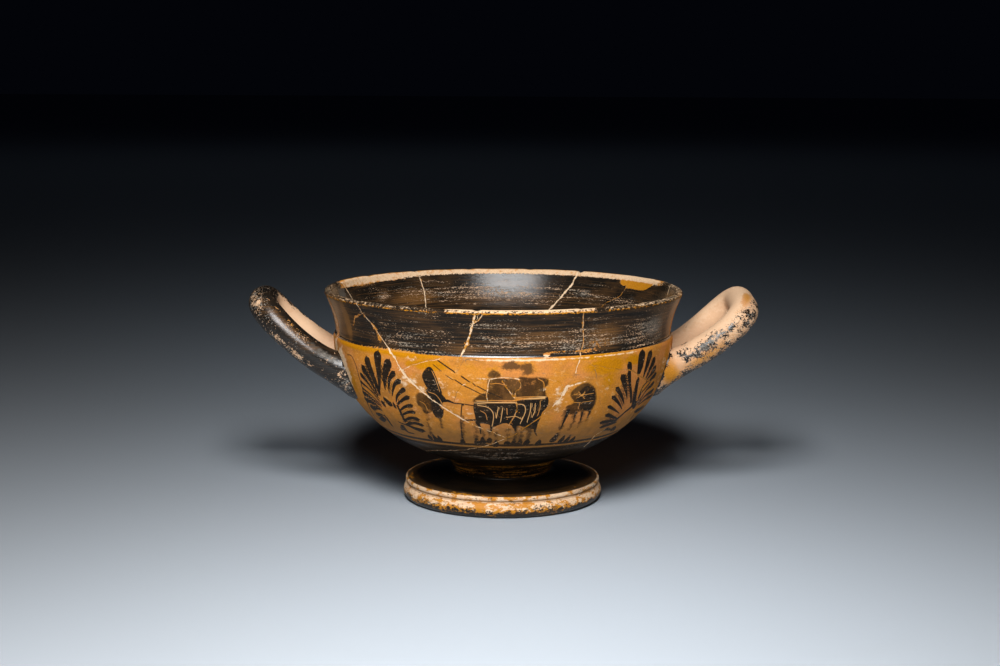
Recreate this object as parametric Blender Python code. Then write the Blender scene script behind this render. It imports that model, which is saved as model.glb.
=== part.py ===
"""A black-figure cup-skyphos: a Greek drinking cup of fired clay, thrown in one with its foot, with two canted
loop handles luted on below the shoulder. It is one solid: bowl, lip, stem, foot and both handles.

Metres, +Z up. The origin is the middle of the resting face, and the handles point along -X and +X."""

import math

import bpy
from mathutils import Vector

# The lip
RIM_RADIUS = 0.0750
LIP_HEIGHT = 0.0192
LIP_WALL = 0.0029
WAIST_RADIUS = 0.0704
LIP_FLARE_POWER = 1.6

# The bowl: outside and inside are both half ellipses that hang from the shoulder
BOWL_RADIUS = 0.0714
BOWL_DROP = 0.0555
BOWL_WALL = 0.0039
FLOOR_WALL = 0.0045
SHOULDER_LEDGE = 0.0015

# The stem, which narrows down to the foot
STEM_HEIGHT = 0.0068
STEM_TOP_RADIUS = 0.0243
STEM_RADIUS = 0.0208

# The foot: a disc with a fillet above and a torus below
FOOT_RADIUS = 0.04225
FOOT_RISE = 0.0023
FILLET_RADIUS = 0.0413
FILLET_HEIGHT = 0.0017
FILLET_ROUND = 0.0004
GROOVE_DEPTH = 0.0006
GROOVE_WIDTH = 0.0006
TORUS_HEIGHT = 0.0067
TORUS_BULGE = 0.0033

# The hollow under the foot
HOLLOW_RADIUS = 0.0295
HOLLOW_WALL_RUN = 0.0012
HOLLOW_WALL_HEIGHT = 0.0026
HOLLOW_DEPTH = 0.0100

# The handles: round clay loops, canted upwards and swung a little to the front. They were bent by hand, so the
# left and the right one differ: lean is how much the back arm rises over the front one, for each metre across
HANDLE_THICKNESS = 0.0117
HANDLE_REACH = 0.0290
ROOT_FLARE = 0.10
ROOT_FLARE_LENGTH = 0.006
ROOT_DEPTH = 0.0094
ROOT_TAIL = 0.0155
LEFT_LOOP = {
    "side": -1,
    "swing": math.radians(0.9),
    "root_drop": 0.0176,
    "rise": 0.0314,
    "curl": 0.24,
    "root_spread": 0.0333,
    "tip_spread": 0.0395,
    "power": 3.4,
    "lean": 0.0,
}
RIGHT_LOOP = {
    "side": 1,
    "swing": math.radians(3.1),
    "root_drop": 0.0171,
    "rise": 0.0295,
    "curl": 0.15,
    "root_spread": 0.0256,
    "tip_spread": 0.0412,
    "power": 4.2,
    "lean": 0.11,
}

# Facets
ROUND_STEPS = 64
HANDLE_STEPS = 26
HANDLE_SIDES_STEP = 5

# Heights that follow from the sizes above
FOOT_EDGE_Z = TORUS_HEIGHT + GROOVE_WIDTH + FILLET_HEIGHT
FOOT_TOP_Z = FOOT_EDGE_Z + FOOT_RISE
STEM_TOP_Z = FOOT_TOP_Z + STEM_HEIGHT
SHOULDER_Z = STEM_TOP_Z + BOWL_DROP * math.sqrt(1 - (STEM_TOP_RADIUS / BOWL_RADIUS) ** 2)
RIM_Z = SHOULDER_Z + LIP_HEIGHT


def clear_scene():
    for obj in list(bpy.data.objects):
        bpy.data.objects.remove(obj)


def between(low, high, count):
    """count + 1 evenly spaced values from low to high."""
    return [low + (high - low) * i / count for i in range(count + 1)]


def ellipse(centre, radii, start, end, count):
    """Points (radius, height) on an ellipse, from one angle to another in degrees, 0 pointing outwards."""
    return [
        (centre[0] + radii[0] * math.cos(math.radians(a)), centre[1] + radii[1] * math.sin(math.radians(a)))
        for a in between(start, end, count)
    ]


def flare(low, high, count):
    """Points (radius, height) on a concave flare from its narrow low end to its wide high end."""
    return [
        (low[0] + (high[0] - low[0]) * s**LIP_FLARE_POWER, low[1] + (high[1] - low[1]) * s)
        for s in between(0, 1, count)
    ]


def inside_profile():
    """The inside of the wall, from the middle of the floor up to the rim."""
    rim_low_z = RIM_Z - LIP_WALL / 2
    bowl = ellipse((0, SHOULDER_Z), (BOWL_RADIUS - BOWL_WALL, BOWL_DROP - FLOOR_WALL), -90, 0, 10)
    lip = flare((BOWL_RADIUS - BOWL_WALL, SHOULDER_Z), (RIM_RADIUS - LIP_WALL, rim_low_z), 5)
    return bowl + lip[1:]


def outside_profile():
    """The outside, from the rim down to the stem."""
    rim = ellipse((RIM_RADIUS - LIP_WALL / 2, RIM_Z - LIP_WALL / 2), (LIP_WALL / 2, LIP_WALL / 2), 180, 0, 6)
    waist_z = SHOULDER_Z + SHOULDER_LEDGE
    lip = flare((WAIST_RADIUS, waist_z), rim[-1], 7)[::-1]
    ledge = ellipse((WAIST_RADIUS, SHOULDER_Z), (BOWL_RADIUS - WAIST_RADIUS, SHOULDER_LEDGE * 0.6), 55, 0, 2)
    stem_angle = -math.degrees(math.acos(STEM_TOP_RADIUS / BOWL_RADIUS))
    bowl = ellipse((0, SHOULDER_Z), (BOWL_RADIUS, BOWL_DROP), 0, stem_angle, 13)
    return rim[1:] + lip[1:] + ledge + bowl[1:]


def foot_profile():
    """The stem and the foot, from under the bowl to the edge of the resting face."""
    stem_middle = ((STEM_TOP_RADIUS + 2 * STEM_RADIUS) / 3, FOOT_TOP_Z + STEM_HEIGHT * 0.45)
    plate = [(STEM_RADIUS, FOOT_TOP_Z), (FILLET_RADIUS - 2 * FILLET_ROUND, FOOT_EDGE_Z)]
    fillet = [(FILLET_RADIUS, FOOT_EDGE_Z - FILLET_ROUND), (FILLET_RADIUS, TORUS_HEIGHT + GROOVE_WIDTH)]
    groove = [(FILLET_RADIUS - GROOVE_DEPTH, TORUS_HEIGHT + GROOVE_WIDTH / 2)]
    middle = (FOOT_RADIUS - TORUS_BULGE, TORUS_HEIGHT / 2)
    torus = ellipse(middle, (TORUS_BULGE, TORUS_HEIGHT / 2), 62, -90, 7)
    return [stem_middle] + plate + fillet + groove + torus


def hollow_profile():
    """The hollow under the foot, from the resting face up to its middle."""
    lip = (HOLLOW_RADIUS - HOLLOW_WALL_RUN, HOLLOW_WALL_HEIGHT)
    dome = ellipse((0, lip[1]), (lip[0], HOLLOW_DEPTH - lip[1]), 0, 90, 5)
    return [(HOLLOW_RADIUS, 0.0)] + dome


def new_object(name, mesh):
    obj = bpy.data.objects.new(name, mesh)
    bpy.context.scene.collection.objects.link(obj)
    return obj


def turned(name, profile):
    """A closed solid of revolution about Z. The profile starts and ends on the axis, and runs down its outside."""
    mesh = bpy.data.meshes.new(name)
    points = [(0.0 if i in (0, len(profile) - 1) else r, 0.0, z) for i, (r, z) in enumerate(profile)]
    mesh.from_pydata(points, [(i, i + 1) for i in range(len(points) - 1)], [])
    obj = new_object(name, mesh)
    screw = obj.modifiers.new("turned", "SCREW")
    screw.axis = "Z"
    screw.steps = ROUND_STEPS
    screw.render_steps = ROUND_STEPS
    screw.use_merge_vertices = True
    screw.merge_threshold = 0.00001
    screw.use_smooth_shade = True
    return obj


def handle_path(loop):
    """The centreline of a handle, as (point, thickness factor). In plan it is a superellipse that starts inside
    the wall, and it climbs from its root to its tip with a slight upward curl."""
    root_out = BOWL_RADIUS - ROOT_DEPTH
    root_z = SHOULDER_Z - loop["root_drop"]
    length = HANDLE_REACH + ROOT_DEPTH
    line = []
    for turn in between(-math.pi / 2, math.pi / 2, HANDLE_STEPS):
        s = max(math.cos(turn), 0.0) ** (2 / loop["power"])
        spread = loop["root_spread"] + (loop["tip_spread"] - loop["root_spread"]) * s
        across = spread / 2 * math.copysign(abs(math.sin(turn)) ** (2 / loop["power"]), turn)
        climb = loop["rise"] * ((1 - loop["curl"]) * s + loop["curl"] * s**3) + loop["lean"] * across * s
        flared = 1 + ROOT_FLARE * math.exp(-max(length * s - ROOT_DEPTH, 0.0) / ROOT_FLARE_LENGTH)
        line.append((root_out + length * s, across, root_z + climb, flared))
    tails = [(root_out + ROOT_DEPTH - ROOT_TAIL, *line[i][1:]) for i in (0, -1)]
    heading = (0 if loop["side"] > 0 else math.pi) - loop["side"] * loop["swing"]
    for out, across, z, flared in [tails[0], *line, tails[1]]:
        x = out * math.cos(heading) - across * math.sin(heading)
        y = out * math.sin(heading) + across * math.cos(heading)
        yield Vector((x, y, z)), flared


def loop_handle(name, loop, wall_core):
    """A round clay loop, cut off half way through the bowl's wall."""
    curve = bpy.data.curves.new(name, "CURVE")
    curve.dimensions = "3D"
    curve.bevel_depth = HANDLE_THICKNESS / 2
    curve.bevel_resolution = HANDLE_SIDES_STEP
    curve.use_fill_caps = True
    path = list(handle_path(loop))
    spline = curve.splines.new("POLY")
    spline.points.add(len(path) - 1)
    for point, (place, flared) in zip(spline.points, path):
        point.co = (*place, 1.0)
        point.radius = flared
    drawn = new_object(name + "_line", curve)
    graph = bpy.context.evaluated_depsgraph_get()
    mesh = bpy.data.meshes.new_from_object(drawn.evaluated_get(graph))
    bpy.data.objects.remove(drawn)
    handle = new_object(name, mesh)
    weld = handle.modifiers.new("closed ends", "WELD")
    weld.merge_threshold = 0.00001
    boolean(handle, "cut off in the wall", "DIFFERENCE", wall_core)
    return handle


def boolean(obj, name, operation, other):
    modifier = obj.modifiers.new(name, "BOOLEAN")
    modifier.operation = operation
    modifier.solver = "EXACT"
    modifier.object = other


def helper(obj):
    """A shape that only takes part in a Boolean."""
    obj.hide_render = True
    obj.display_type = "WIRE"
    return obj


def fired_clay():
    material = bpy.data.materials.new("fired clay with black gloss")
    material.use_nodes = True
    shader = material.node_tree.nodes["Principled BSDF"]
    shader.inputs["Base Color"].default_value = (0.20, 0.075, 0.02, 1)
    shader.inputs["Roughness"].default_value = 0.35
    shader.inputs["Metallic"].default_value = 0.0
    return material


def main():
    clear_scene()
    skyphos = turned("skyphos", inside_profile() + outside_profile() + foot_profile() + hollow_profile())
    core_radii = (BOWL_RADIUS - BOWL_WALL / 2, BOWL_DROP - FLOOR_WALL / 2)
    wall_core = helper(turned("wall_core", ellipse((0, SHOULDER_Z), core_radii, 90, -90, 24)))
    for name, loop in (("left_loop", LEFT_LOOP), ("right_loop", RIGHT_LOOP)):
        handle = helper(loop_handle(name, loop, wall_core))
        boolean(skyphos, name, "UNION", handle)
    skyphos.data.materials.append(fired_clay())


main()
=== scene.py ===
"""A black-figure cup-skyphos on a pale studio floor. Sizes are in millimetres until a mesh is made.

Places on the wall are given as (azimuth, height): azimuth in degrees, 0 at the front and growing to the
right."""

import math

import bpy
import numpy as np
from mathutils import Matrix, Vector


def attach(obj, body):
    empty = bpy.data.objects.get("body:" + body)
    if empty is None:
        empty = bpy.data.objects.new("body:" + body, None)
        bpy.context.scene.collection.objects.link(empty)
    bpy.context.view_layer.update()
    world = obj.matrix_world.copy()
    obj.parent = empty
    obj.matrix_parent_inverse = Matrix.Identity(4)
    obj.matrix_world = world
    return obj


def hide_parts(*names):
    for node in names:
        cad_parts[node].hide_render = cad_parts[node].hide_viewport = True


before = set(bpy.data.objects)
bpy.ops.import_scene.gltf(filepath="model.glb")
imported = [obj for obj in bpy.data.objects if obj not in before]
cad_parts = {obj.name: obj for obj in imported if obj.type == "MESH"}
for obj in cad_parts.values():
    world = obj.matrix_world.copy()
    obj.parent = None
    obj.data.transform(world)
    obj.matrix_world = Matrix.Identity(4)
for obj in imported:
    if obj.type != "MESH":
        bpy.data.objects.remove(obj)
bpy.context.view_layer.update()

MM = 0.001

# The lip
RIM_RADIUS = 75.0
LIP_HEIGHT = 19.2
LIP_WALL = 2.9
WAIST_RADIUS = 70.4
LIP_FLARE_POWER = 1.6

# The bowl
BOWL_RADIUS = 71.4
BOWL_DROP = 55.5
BOWL_WALL = 3.9
FLOOR_WALL = 4.5
SHOULDER_LEDGE = 1.5

# The stem and the foot
STEM_HEIGHT = 6.8
STEM_TOP_RADIUS = 24.3
STEM_RADIUS = 20.8
FOOT_RADIUS = 42.25
FOOT_RISE = 2.3
FILLET_RADIUS = 41.3
FILLET_HEIGHT = 1.7
FILLET_ROUND = 0.4
GROOVE_DEPTH = 0.6
GROOVE_WIDTH = 0.6
TORUS_HEIGHT = 6.7
TORUS_BULGE = 3.3
HOLLOW_RADIUS = 29.5
HOLLOW_WALL_RUN = 1.2
HOLLOW_WALL_HEIGHT = 2.6
HOLLOW_DEPTH = 10.0

FOOT_EDGE_Z = TORUS_HEIGHT + GROOVE_WIDTH + FILLET_HEIGHT
FOOT_TOP_Z = FOOT_EDGE_Z + FOOT_RISE
STEM_TOP_Z = FOOT_TOP_Z + STEM_HEIGHT
SHOULDER_Z = STEM_TOP_Z + BOWL_DROP * math.sqrt(1 - (STEM_TOP_RADIUS / BOWL_RADIUS) ** 2)
WAIST_Z = SHOULDER_Z + SHOULDER_LEDGE
RIM_Z = SHOULDER_Z + LIP_HEIGHT
RIM_LOW_Z = RIM_Z - LIP_WALL / 2
GROOVE_Z = TORUS_HEIGHT + GROOVE_WIDTH / 2

# The handles
HANDLE_RADIUS = 5.85
HANDLE_REACH = 29.0
ROOT_DEPTH = 9.4
ROOT_TAIL = 15.5
LUTE_SWELL = 1.7
LUTE_LENGTH = 2.4
LEFT_LOOP = {
    "side": -1,
    "swing": math.radians(0.9),
    "root_drop": 17.6,
    "rise": 31.4,
    "curl": 0.24,
    "root_spread": 33.3,
    "tip_spread": 39.5,
    "power": 3.4,
    "lean": 0.0,
}
RIGHT_LOOP = {
    "side": 1,
    "swing": math.radians(3.1),
    "root_drop": 17.1,
    "rise": 29.5,
    "curl": 0.15,
    "root_spread": 25.6,
    "tip_spread": 41.2,
    "power": 4.2,
    "lean": 0.11,
}

# The mesh: columns lie closer together at the front, and every coarser ring has half the columns of a finer
# one
COLUMNS = 568
FRONT_HALF_ANGLE = 79.0
BACK_DENSITY = 0.62
HANDLE_STEP = 1.3
HANDLE_FINE_STEP = 0.6
HANDLE_SIDES = 26
CORE_COLUMNS = 120

# The finishes, in the order of the vessel's material slots
FINISHES = [
    "lip gloss",
    "painted band",
    "lower gloss",
    "foot edge",
    "foot hollow",
    "inside gloss",
    "left handle",
    "right handle",
    "ledge gloss",
]

# The painted band: where the black below it ends, and the ground line's height and half width
BLACK_TOP_Z = 31.5
GROUND_Z = 33.0
GROUND_HALF = 0.55
# The ledge under the lip slopes outwards, as (distance out from the waist, height over the shoulder)
LEDGE = [(0.07, 1.5), (0.36, 1.1), (0.6, 0.6), (0.8, 0.1), (0.92, -0.25)]


def smooth_step(low, high, value):
    """0 below low, 1 above high, and 3t^2 - 2t^3 in between."""
    t = np.clip((value - low) / (high - low), 0, 1)
    return t * t * (3 - 2 * t)


# Profiles


def arc(centre, radii, start, end, count):
    """Points (radius, height) on an ellipse from one angle to another in degrees, 0 pointing outwards."""
    angle = np.radians(np.linspace(start, end, count + 1))
    return np.stack([centre[0] + radii[0] * np.cos(angle), centre[1] + radii[1] * np.sin(angle)], 1)


def flare(low, high, count):
    """Points on a concave flare: the radius grows as the height's share to the flare power."""
    s = np.linspace(0, 1, count + 1)
    return np.stack([low[0] + (high[0] - low[0]) * s**LIP_FLARE_POWER, low[1] + (high[1] - low[1]) * s], 1)


def outer_radius(z):
    """The radius of the outside at a height: half an ellipse below the shoulder, the flare above the
    waist."""
    bowl = BOWL_RADIUS * np.sqrt(np.clip(1 - ((SHOULDER_Z - z) / BOWL_DROP) ** 2, 0, 1))
    share = np.clip((z - WAIST_Z) / (RIM_LOW_Z - WAIST_Z), 0, 1)
    lip = WAIST_RADIUS + (RIM_RADIUS - WAIST_RADIUS) * share**LIP_FLARE_POWER
    return np.where(z < SHOULDER_Z, bowl, np.maximum(lip, BOWL_RADIUS - (z - SHOULDER_Z)))


def vessel_rings():
    """The rings of the whole surface, from the middle of the floor over the rim to the middle of the hollow,
    as (radius, height, level, finish of the faces before the ring). Level 0 has all columns, 1 half, 2 a
    quarter."""
    shoulder = (0, SHOULDER_Z)
    bowl = (BOWL_RADIUS, BOWL_DROP)
    inside_radius = BOWL_RADIUS - BOWL_WALL
    rim_round = LIP_WALL / 2
    inside = arc(shoulder, (inside_radius, BOWL_DROP - FLOOR_WALL), -90, 0, 46)[1:]
    inside_lip = flare((inside_radius, SHOULDER_Z), (RIM_RADIUS - LIP_WALL, RIM_LOW_Z), 15)[1:]
    rim = arc((RIM_RADIUS - rim_round, RIM_LOW_Z), (rim_round, rim_round), 180, 0, 8)[1:]
    lip = flare((WAIST_RADIUS, WAIST_Z), (RIM_RADIUS, RIM_LOW_Z), 19)[::-1][1:]
    ledge = np.array([(WAIST_RADIUS + out, SHOULDER_Z + up) for out, up in LEDGE])
    black_turn = -math.degrees(math.asin((SHOULDER_Z - BLACK_TOP_Z + 1.5) / BOWL_DROP))
    stem_turn = -math.degrees(math.acos(STEM_TOP_RADIUS / BOWL_RADIUS))
    band = arc(shoulder, bowl, 0, black_turn, 82)[1:]
    under = arc(shoulder, bowl, black_turn, stem_turn, 24)[1:]
    stem_low = np.array([STEM_RADIUS, FOOT_TOP_Z])
    stem_waist = np.array([(STEM_TOP_RADIUS + 2 * STEM_RADIUS) / 3 - 0.9, FOOT_TOP_Z + STEM_HEIGHT * 0.42])
    share = np.linspace(0, 1, 8)[1:, None]
    stem = (1 - share) ** 2 * under[-1] + 2 * share * (1 - share) * stem_waist + share**2 * stem_low
    plate_edge = np.array([FILLET_RADIUS - 2 * FILLET_ROUND, FOOT_EDGE_Z])
    plate = stem_low + np.linspace(0, 1, 9)[1:, None] * (plate_edge - stem_low)
    fillet_middle = (FILLET_RADIUS - 2 * FILLET_ROUND, FOOT_EDGE_Z - FILLET_ROUND)
    fillet = arc(fillet_middle, (2 * FILLET_ROUND, FILLET_ROUND), 70, 0, 2)
    fillet_foot = np.array([[FILLET_RADIUS, TORUS_HEIGHT + GROOVE_WIDTH + 0.25]])
    groove = arc((FILLET_RADIUS, GROOVE_Z), (GROOVE_DEPTH, GROOVE_WIDTH * 0.7), 115, 245, 4)
    torus_middle = (FOOT_RADIUS - TORUS_BULGE, TORUS_HEIGHT / 2)
    torus = arc(torus_middle, (TORUS_BULGE, TORUS_HEIGHT / 2), 60, -90, 13)
    standing = np.array([[HOLLOW_RADIUS + 4, 0.0], [HOLLOW_RADIUS, 0.0]])
    dome_foot = (HOLLOW_RADIUS - HOLLOW_WALL_RUN, HOLLOW_WALL_HEIGHT)
    dome = arc((0, dome_foot[1]), (dome_foot[0], HOLLOW_DEPTH - dome_foot[1]), 0, 90, 12)[:-1]
    parts = [
        (inside, 2, "inside gloss"),
        (inside_lip, 1, "inside gloss"),
        (rim, 0, "lip gloss"),
        (lip, 0, "lip gloss"),
        (ledge[:-2], 0, "ledge gloss"),
        (ledge[-2:], 0, "painted band"),
        (band, 0, "painted band"),
        (under, 1, "lower gloss"),
        (stem, 1, "lower gloss"),
        (plate, 1, "lower gloss"),
        (fillet, 1, "foot edge"),
        (fillet_foot, 1, "foot edge"),
        (groove, 1, "foot edge"),
        (torus, 1, "foot edge"),
        (standing, 2, "foot hollow"),
        (dome, 2, "foot hollow"),
    ]
    return [(*point, level, FINISHES.index(finish)) for part, level, finish in parts for point in part]


def column_azimuths():
    """Azimuths in degrees of the columns: evenly spaced in the integral of a density that is 1 at the
    front."""
    turn = np.linspace(-180, 180, 7201)
    behind = smooth_step(FRONT_HALF_ANGLE, FRONT_HALF_ANGLE + 12, abs(turn))
    density = BACK_DENSITY + (1 - BACK_DENSITY) * (1 - behind)
    total = np.concatenate([[0], np.cumsum((density[1:] + density[:-1]) / 2)])
    return np.interp(np.arange(COLUMNS) / COLUMNS * total[-1], total, turn)


# Chips out of the rim: azimuth, half width in degrees, depth
RIM_CHIPS = [
    (-108, 1.1, 0.55), (-149, 0.8, 0.35), (148.8, 0.8, 1), (98, 0.9, 0.55), (74, 2.4, 0.95),
    (-53.5, 1, 0.5), (-10.2, 0.9, 0.5), (21.5, 0.6, 0.35), (-38, 1.1, 0.35), (-71, 1.6, 0.45),
    (44, 1.3, 0.4), (57, 0.9, 0.5), (168, 1.1, 0.3), (-170, 0.8, 0.3), (-128, 1.5, 0.35), (84, 1.2, 0.5),
]
FILL_AZIMUTH = 121.5
FILL_HALF_WIDTH = 9.0


def angle_between(a, b):
    """The signed angle in degrees from b to a, from -180 to 180."""
    return (a - b + 180) % 360 - 180


def worn_height(azimuth):
    """How high the rim stands at each azimuth: its own waviness, less the chips, each a cosine bell."""
    phi = np.radians(azimuth)
    height = RIM_Z - 0.12 + 0.07 * np.sin(3 * phi + 0.6) + 0.05 * np.sin(7 * phi + 2.0)
    height += 0.035 * np.sin(23 * phi + 1.0) + 0.03 * np.sin(41 * phi + 0.3)
    for middle, half_width, depth in RIM_CHIPS:
        offset = np.clip(abs(angle_between(azimuth, middle)) / (half_width * 1.6), 0, 1)
        height -= depth * (0.5 + 0.5 * np.cos(np.pi * offset)) ** 0.7
    return height


def throwing(azimuth, z):
    """Radial unevenness of the hand-thrown wall: low waves round the wall, and shallow finger rings up it."""
    phi = np.radians(azimuth)
    waves = 0.10 * np.sin(2 * phi + 0.7) + 0.06 * np.sin(3 * phi + z / 31)
    waves = waves + 0.035 * np.sin(5 * phi - z / 17 + 1.1)
    rings = 0.03 * np.sin(z / 1.9) + 0.025 * np.sin(z / 0.83 + 0.6 * np.sin(phi))
    return waves + rings


def wall_point(azimuth, z, radius):
    """Points in space from an azimuth in degrees, a height and a radius."""
    phi = np.radians(azimuth)
    return np.stack([radius * np.sin(phi), -radius * np.cos(phi), z + 0 * phi], -1)


def ring_faces(low, high, low_start, high_start):
    """Faces between two rings of column counts low and high. Equal rings give quads. Where one has twice the
    columns, every pair of its edges meets one edge of the other in three triangles."""
    i = np.arange(min(low, high))
    j = (i + 1) % len(i)
    if low == high:
        return np.stack([high_start + i, high_start + j, low_start + j, low_start + i], 1)
    fine, coarse = (low_start, high_start) if low > high else (high_start, low_start)
    a, b, c = fine + 2 * i, fine + 2 * i + 1, fine + 2 * j
    p, q = coarse + i, coarse + j
    triangles = np.concatenate([np.stack(t, 1) for t in ((a, b, p), (b, q, p), (b, c, q))])
    return triangles[:, ::-1] if low > high else triangles


def strips(counts):
    """The faces between each ring and the next, for rings of these column counts."""
    starts = np.cumsum([0, *counts])
    return [ring_faces(*counts[k : k + 2], *starts[k : k + 2]) for k in range(len(counts) - 1)]


def fan(middle, start, count):
    """Triangles from one middle vertex to every edge of a ring."""
    i = np.arange(count)
    return np.stack([np.full(count, middle), start + i, start + (i + 1) % count], 1)


def closed_surface(name, rings, middles, finishes):
    """A surface from rings of points, closed by a fan to a middle at either end. The finish of a ring is that
    of the faces before it, and the quads come before the triangles."""
    counts = [len(ring) for ring in rings]
    total = sum(counts)
    parts = sorted(zip(strips(counts), finishes[1:]), key=lambda part: -part[0].shape[1])
    parts.append((fan(total, 0, counts[0]), finishes[0]))
    parts.append((fan(total + 1, total - counts[-1], counts[-1])[:, ::-1], finishes[-1]))
    faces = [face for part, _ in parts for face in part.tolist()]
    finish = np.concatenate([np.full(len(part), number) for part, number in parts])
    return solid(name, np.concatenate([*rings, middles]), faces, finish)


def vessel_mesh(name):
    """The thrown vessel without its handles: every ring is its profile point swept through the column
    azimuths, moved out by the throwing waves, and lowered where the rim is worn."""
    azimuths = column_azimuths()
    rings, finishes = [], []
    for radius, z, level, finish in vessel_rings():
        column = azimuths[:: 2**level]
        wave = throwing(column, z) * smooth_step(FOOT_TOP_Z - 6, STEM_TOP_Z + 10, z)
        on_foot = smooth_step(0.5, 3.0, z) * (z < FOOT_TOP_Z + 1)
        wave = wave + 0.1 * np.sin(2 * np.radians(column) + 2) * on_foot
        height = np.minimum(z, worn_height(column)) if z > RIM_Z - 3 else z
        rings.append(wall_point(column, height, radius + wave))
        finishes.append(finish)
    middles = [(0, 0, SHOULDER_Z - BOWL_DROP + FLOOR_WALL), (0, 0, HOLLOW_DEPTH)]
    return closed_surface(name, rings, middles, finishes)


def solid(name, points, faces, finish):
    """A mesh object from millimetre points, with a finish number for each face."""
    mesh = bpy.data.meshes.new(name)
    mesh.from_pydata((points * MM).tolist(), [], faces)
    mesh.polygons.foreach_set("material_index", np.asarray(finish, np.int32))
    mesh.polygons.foreach_set("use_smooth", np.ones(len(faces), bool))
    mesh.update()
    obj = bpy.data.objects.new(name, mesh)
    bpy.context.scene.collection.objects.link(obj)
    for label in FINISHES:
        mesh.materials.append(bpy.data.materials.get(label) or bpy.data.materials.new(label))
    return obj


# Handles


def loop_path(loop, step):
    """The centreline of a handle, evenly spaced. In plan it is a superellipse that starts inside the wall,
    and it climbs from its root to its tip with a slight upward curl."""
    turn = np.linspace(-np.pi / 2, np.pi / 2, 2001)
    s = np.clip(np.cos(turn), 0, 1) ** (2 / loop["power"])
    spread = loop["root_spread"] + (loop["tip_spread"] - loop["root_spread"]) * s
    across = spread / 2 * np.copysign(abs(np.sin(turn)) ** (2 / loop["power"]), turn)
    climb = loop["rise"] * ((1 - loop["curl"]) * s + loop["curl"] * s**3) + loop["lean"] * across * s
    out = BOWL_RADIUS - ROOT_DEPTH + (HANDLE_REACH + ROOT_DEPTH) * s
    z = SHOULDER_Z - loop["root_drop"] + climb
    out = np.concatenate([[BOWL_RADIUS - ROOT_TAIL], out, [BOWL_RADIUS - ROOT_TAIL]])
    across = np.concatenate([across[:1], across, across[-1:]])
    z = np.concatenate([z[:1], z, z[-1:]])
    heading = (0 if loop["side"] > 0 else math.pi) - loop["side"] * loop["swing"]
    x = out * math.cos(heading) - across * math.sin(heading)
    y = out * math.sin(heading) + across * math.cos(heading)
    route = np.stack([x, y, z], 1)
    length = np.concatenate([[0], np.cumsum(np.linalg.norm(np.diff(route, axis=0), axis=1))])
    even = np.linspace(0, length[-1], int(length[-1] / step) + 1)
    return np.stack([np.interp(even, length, route[:, k]) for k in range(3)], 1)


def loop_frame(path):
    """Two vectors across a handle's path at each of its points: one square to the loop's plane, pointing up,
    and one in the plane, pointing away from the loop's middle."""
    tangent = np.gradient(path, axis=0)
    for _ in range(2):
        tangent[1:-1] = (tangent[:-2] + 2 * tangent[1:-1] + tangent[2:]) / 4
    tangent /= np.linalg.norm(tangent, axis=1)[:, None]
    tip = path[len(path) // 2]
    root = (path[0] + path[-1]) / 2
    away = (tip - root) / np.linalg.norm(tip - root)
    across = path[-1] - path[0]
    across = across / np.linalg.norm(across)
    square = np.cross(away, across)
    square *= np.sign(square[2]) / np.linalg.norm(square)
    up = square - (tangent @ square)[:, None] * tangent
    up /= np.linalg.norm(up, axis=1)[:, None]
    outward = np.cross(up, tangent)
    outward *= np.sign(((path - path.mean(0)) * outward).sum(1).mean())
    return up, outward


def wall_depth(points):
    """How far points lie outside the bowl's outer ellipsoid, below 0 inside it: the ellipsoid's own norm less
    one, over the size of its gradient."""
    radius = np.hypot(points[:, 0], points[:, 1])
    height = points[:, 2] - SHOULDER_Z
    norm = np.sqrt((radius / BOWL_RADIUS) ** 2 + (height / BOWL_DROP) ** 2)
    slope = np.sqrt((radius / BOWL_RADIUS**2) ** 2 + (height / BOWL_DROP**2) ** 2) / np.maximum(norm, 1e-6)
    return (norm - 1) / slope


def handle_mesh(name, loop):
    """A round clay loop carried along its path. Its section swells where it was luted to the wall, by a bell
    of the distance to the wall, and has slight dents of the fingers."""
    path = loop_path(loop, HANDLE_STEP)
    up, outward = loop_frame(path)
    along = np.linspace(0, 1, len(path))[:, None]
    around = np.linspace(0, 2 * np.pi, HANDLE_SIDES, endpoint=False)[None, :]
    dents = 0.10 * np.sin(2 * around + 9 * along) + 0.07 * np.sin(31 * along + 1.3)
    radius = HANDLE_RADIUS + (dents + 0.05 * np.sin(3 * around - 23 * along))
    direction = np.cos(around)[..., None] * outward[:, None] + np.sin(around)[..., None] * up[:, None]
    tube = path[:, None] + radius[..., None] * direction
    depth = wall_depth(tube.reshape(-1, 3)).reshape(radius.shape)
    radius = radius + LUTE_SWELL * np.exp(-np.maximum(depth, 0) / LUTE_LENGTH)
    tube = (path[:, None] + radius[..., None] * direction).reshape(-1, 3)
    faces = np.concatenate(strips([HANDLE_SIDES] * len(path))).tolist()
    numbers = list(range(len(tube)))
    faces += [numbers[:HANDLE_SIDES], numbers[: -HANDLE_SIDES - 1 : -1]]
    return solid(name, tube, faces, np.full(len(faces), FINISHES.index(name)))


def core_mesh(name):
    """The ellipsoid half way through the bowl's wall, which cuts the handles off."""
    radii = (BOWL_RADIUS - BOWL_WALL / 2, BOWL_DROP - FLOOR_WALL / 2)
    azimuths = np.linspace(-180, 180, CORE_COLUMNS, endpoint=False)
    profile = arc((0, SHOULDER_Z), radii, 90, -90, CORE_COLUMNS // 3)[1:-1]
    rings = [wall_point(azimuths, z, radius) for radius, z in profile]
    middles = [(0, 0, SHOULDER_Z + radii[1]), (0, 0, SHOULDER_Z - radii[1])]
    return closed_surface(name, rings, middles, [0] * len(rings))


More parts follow.
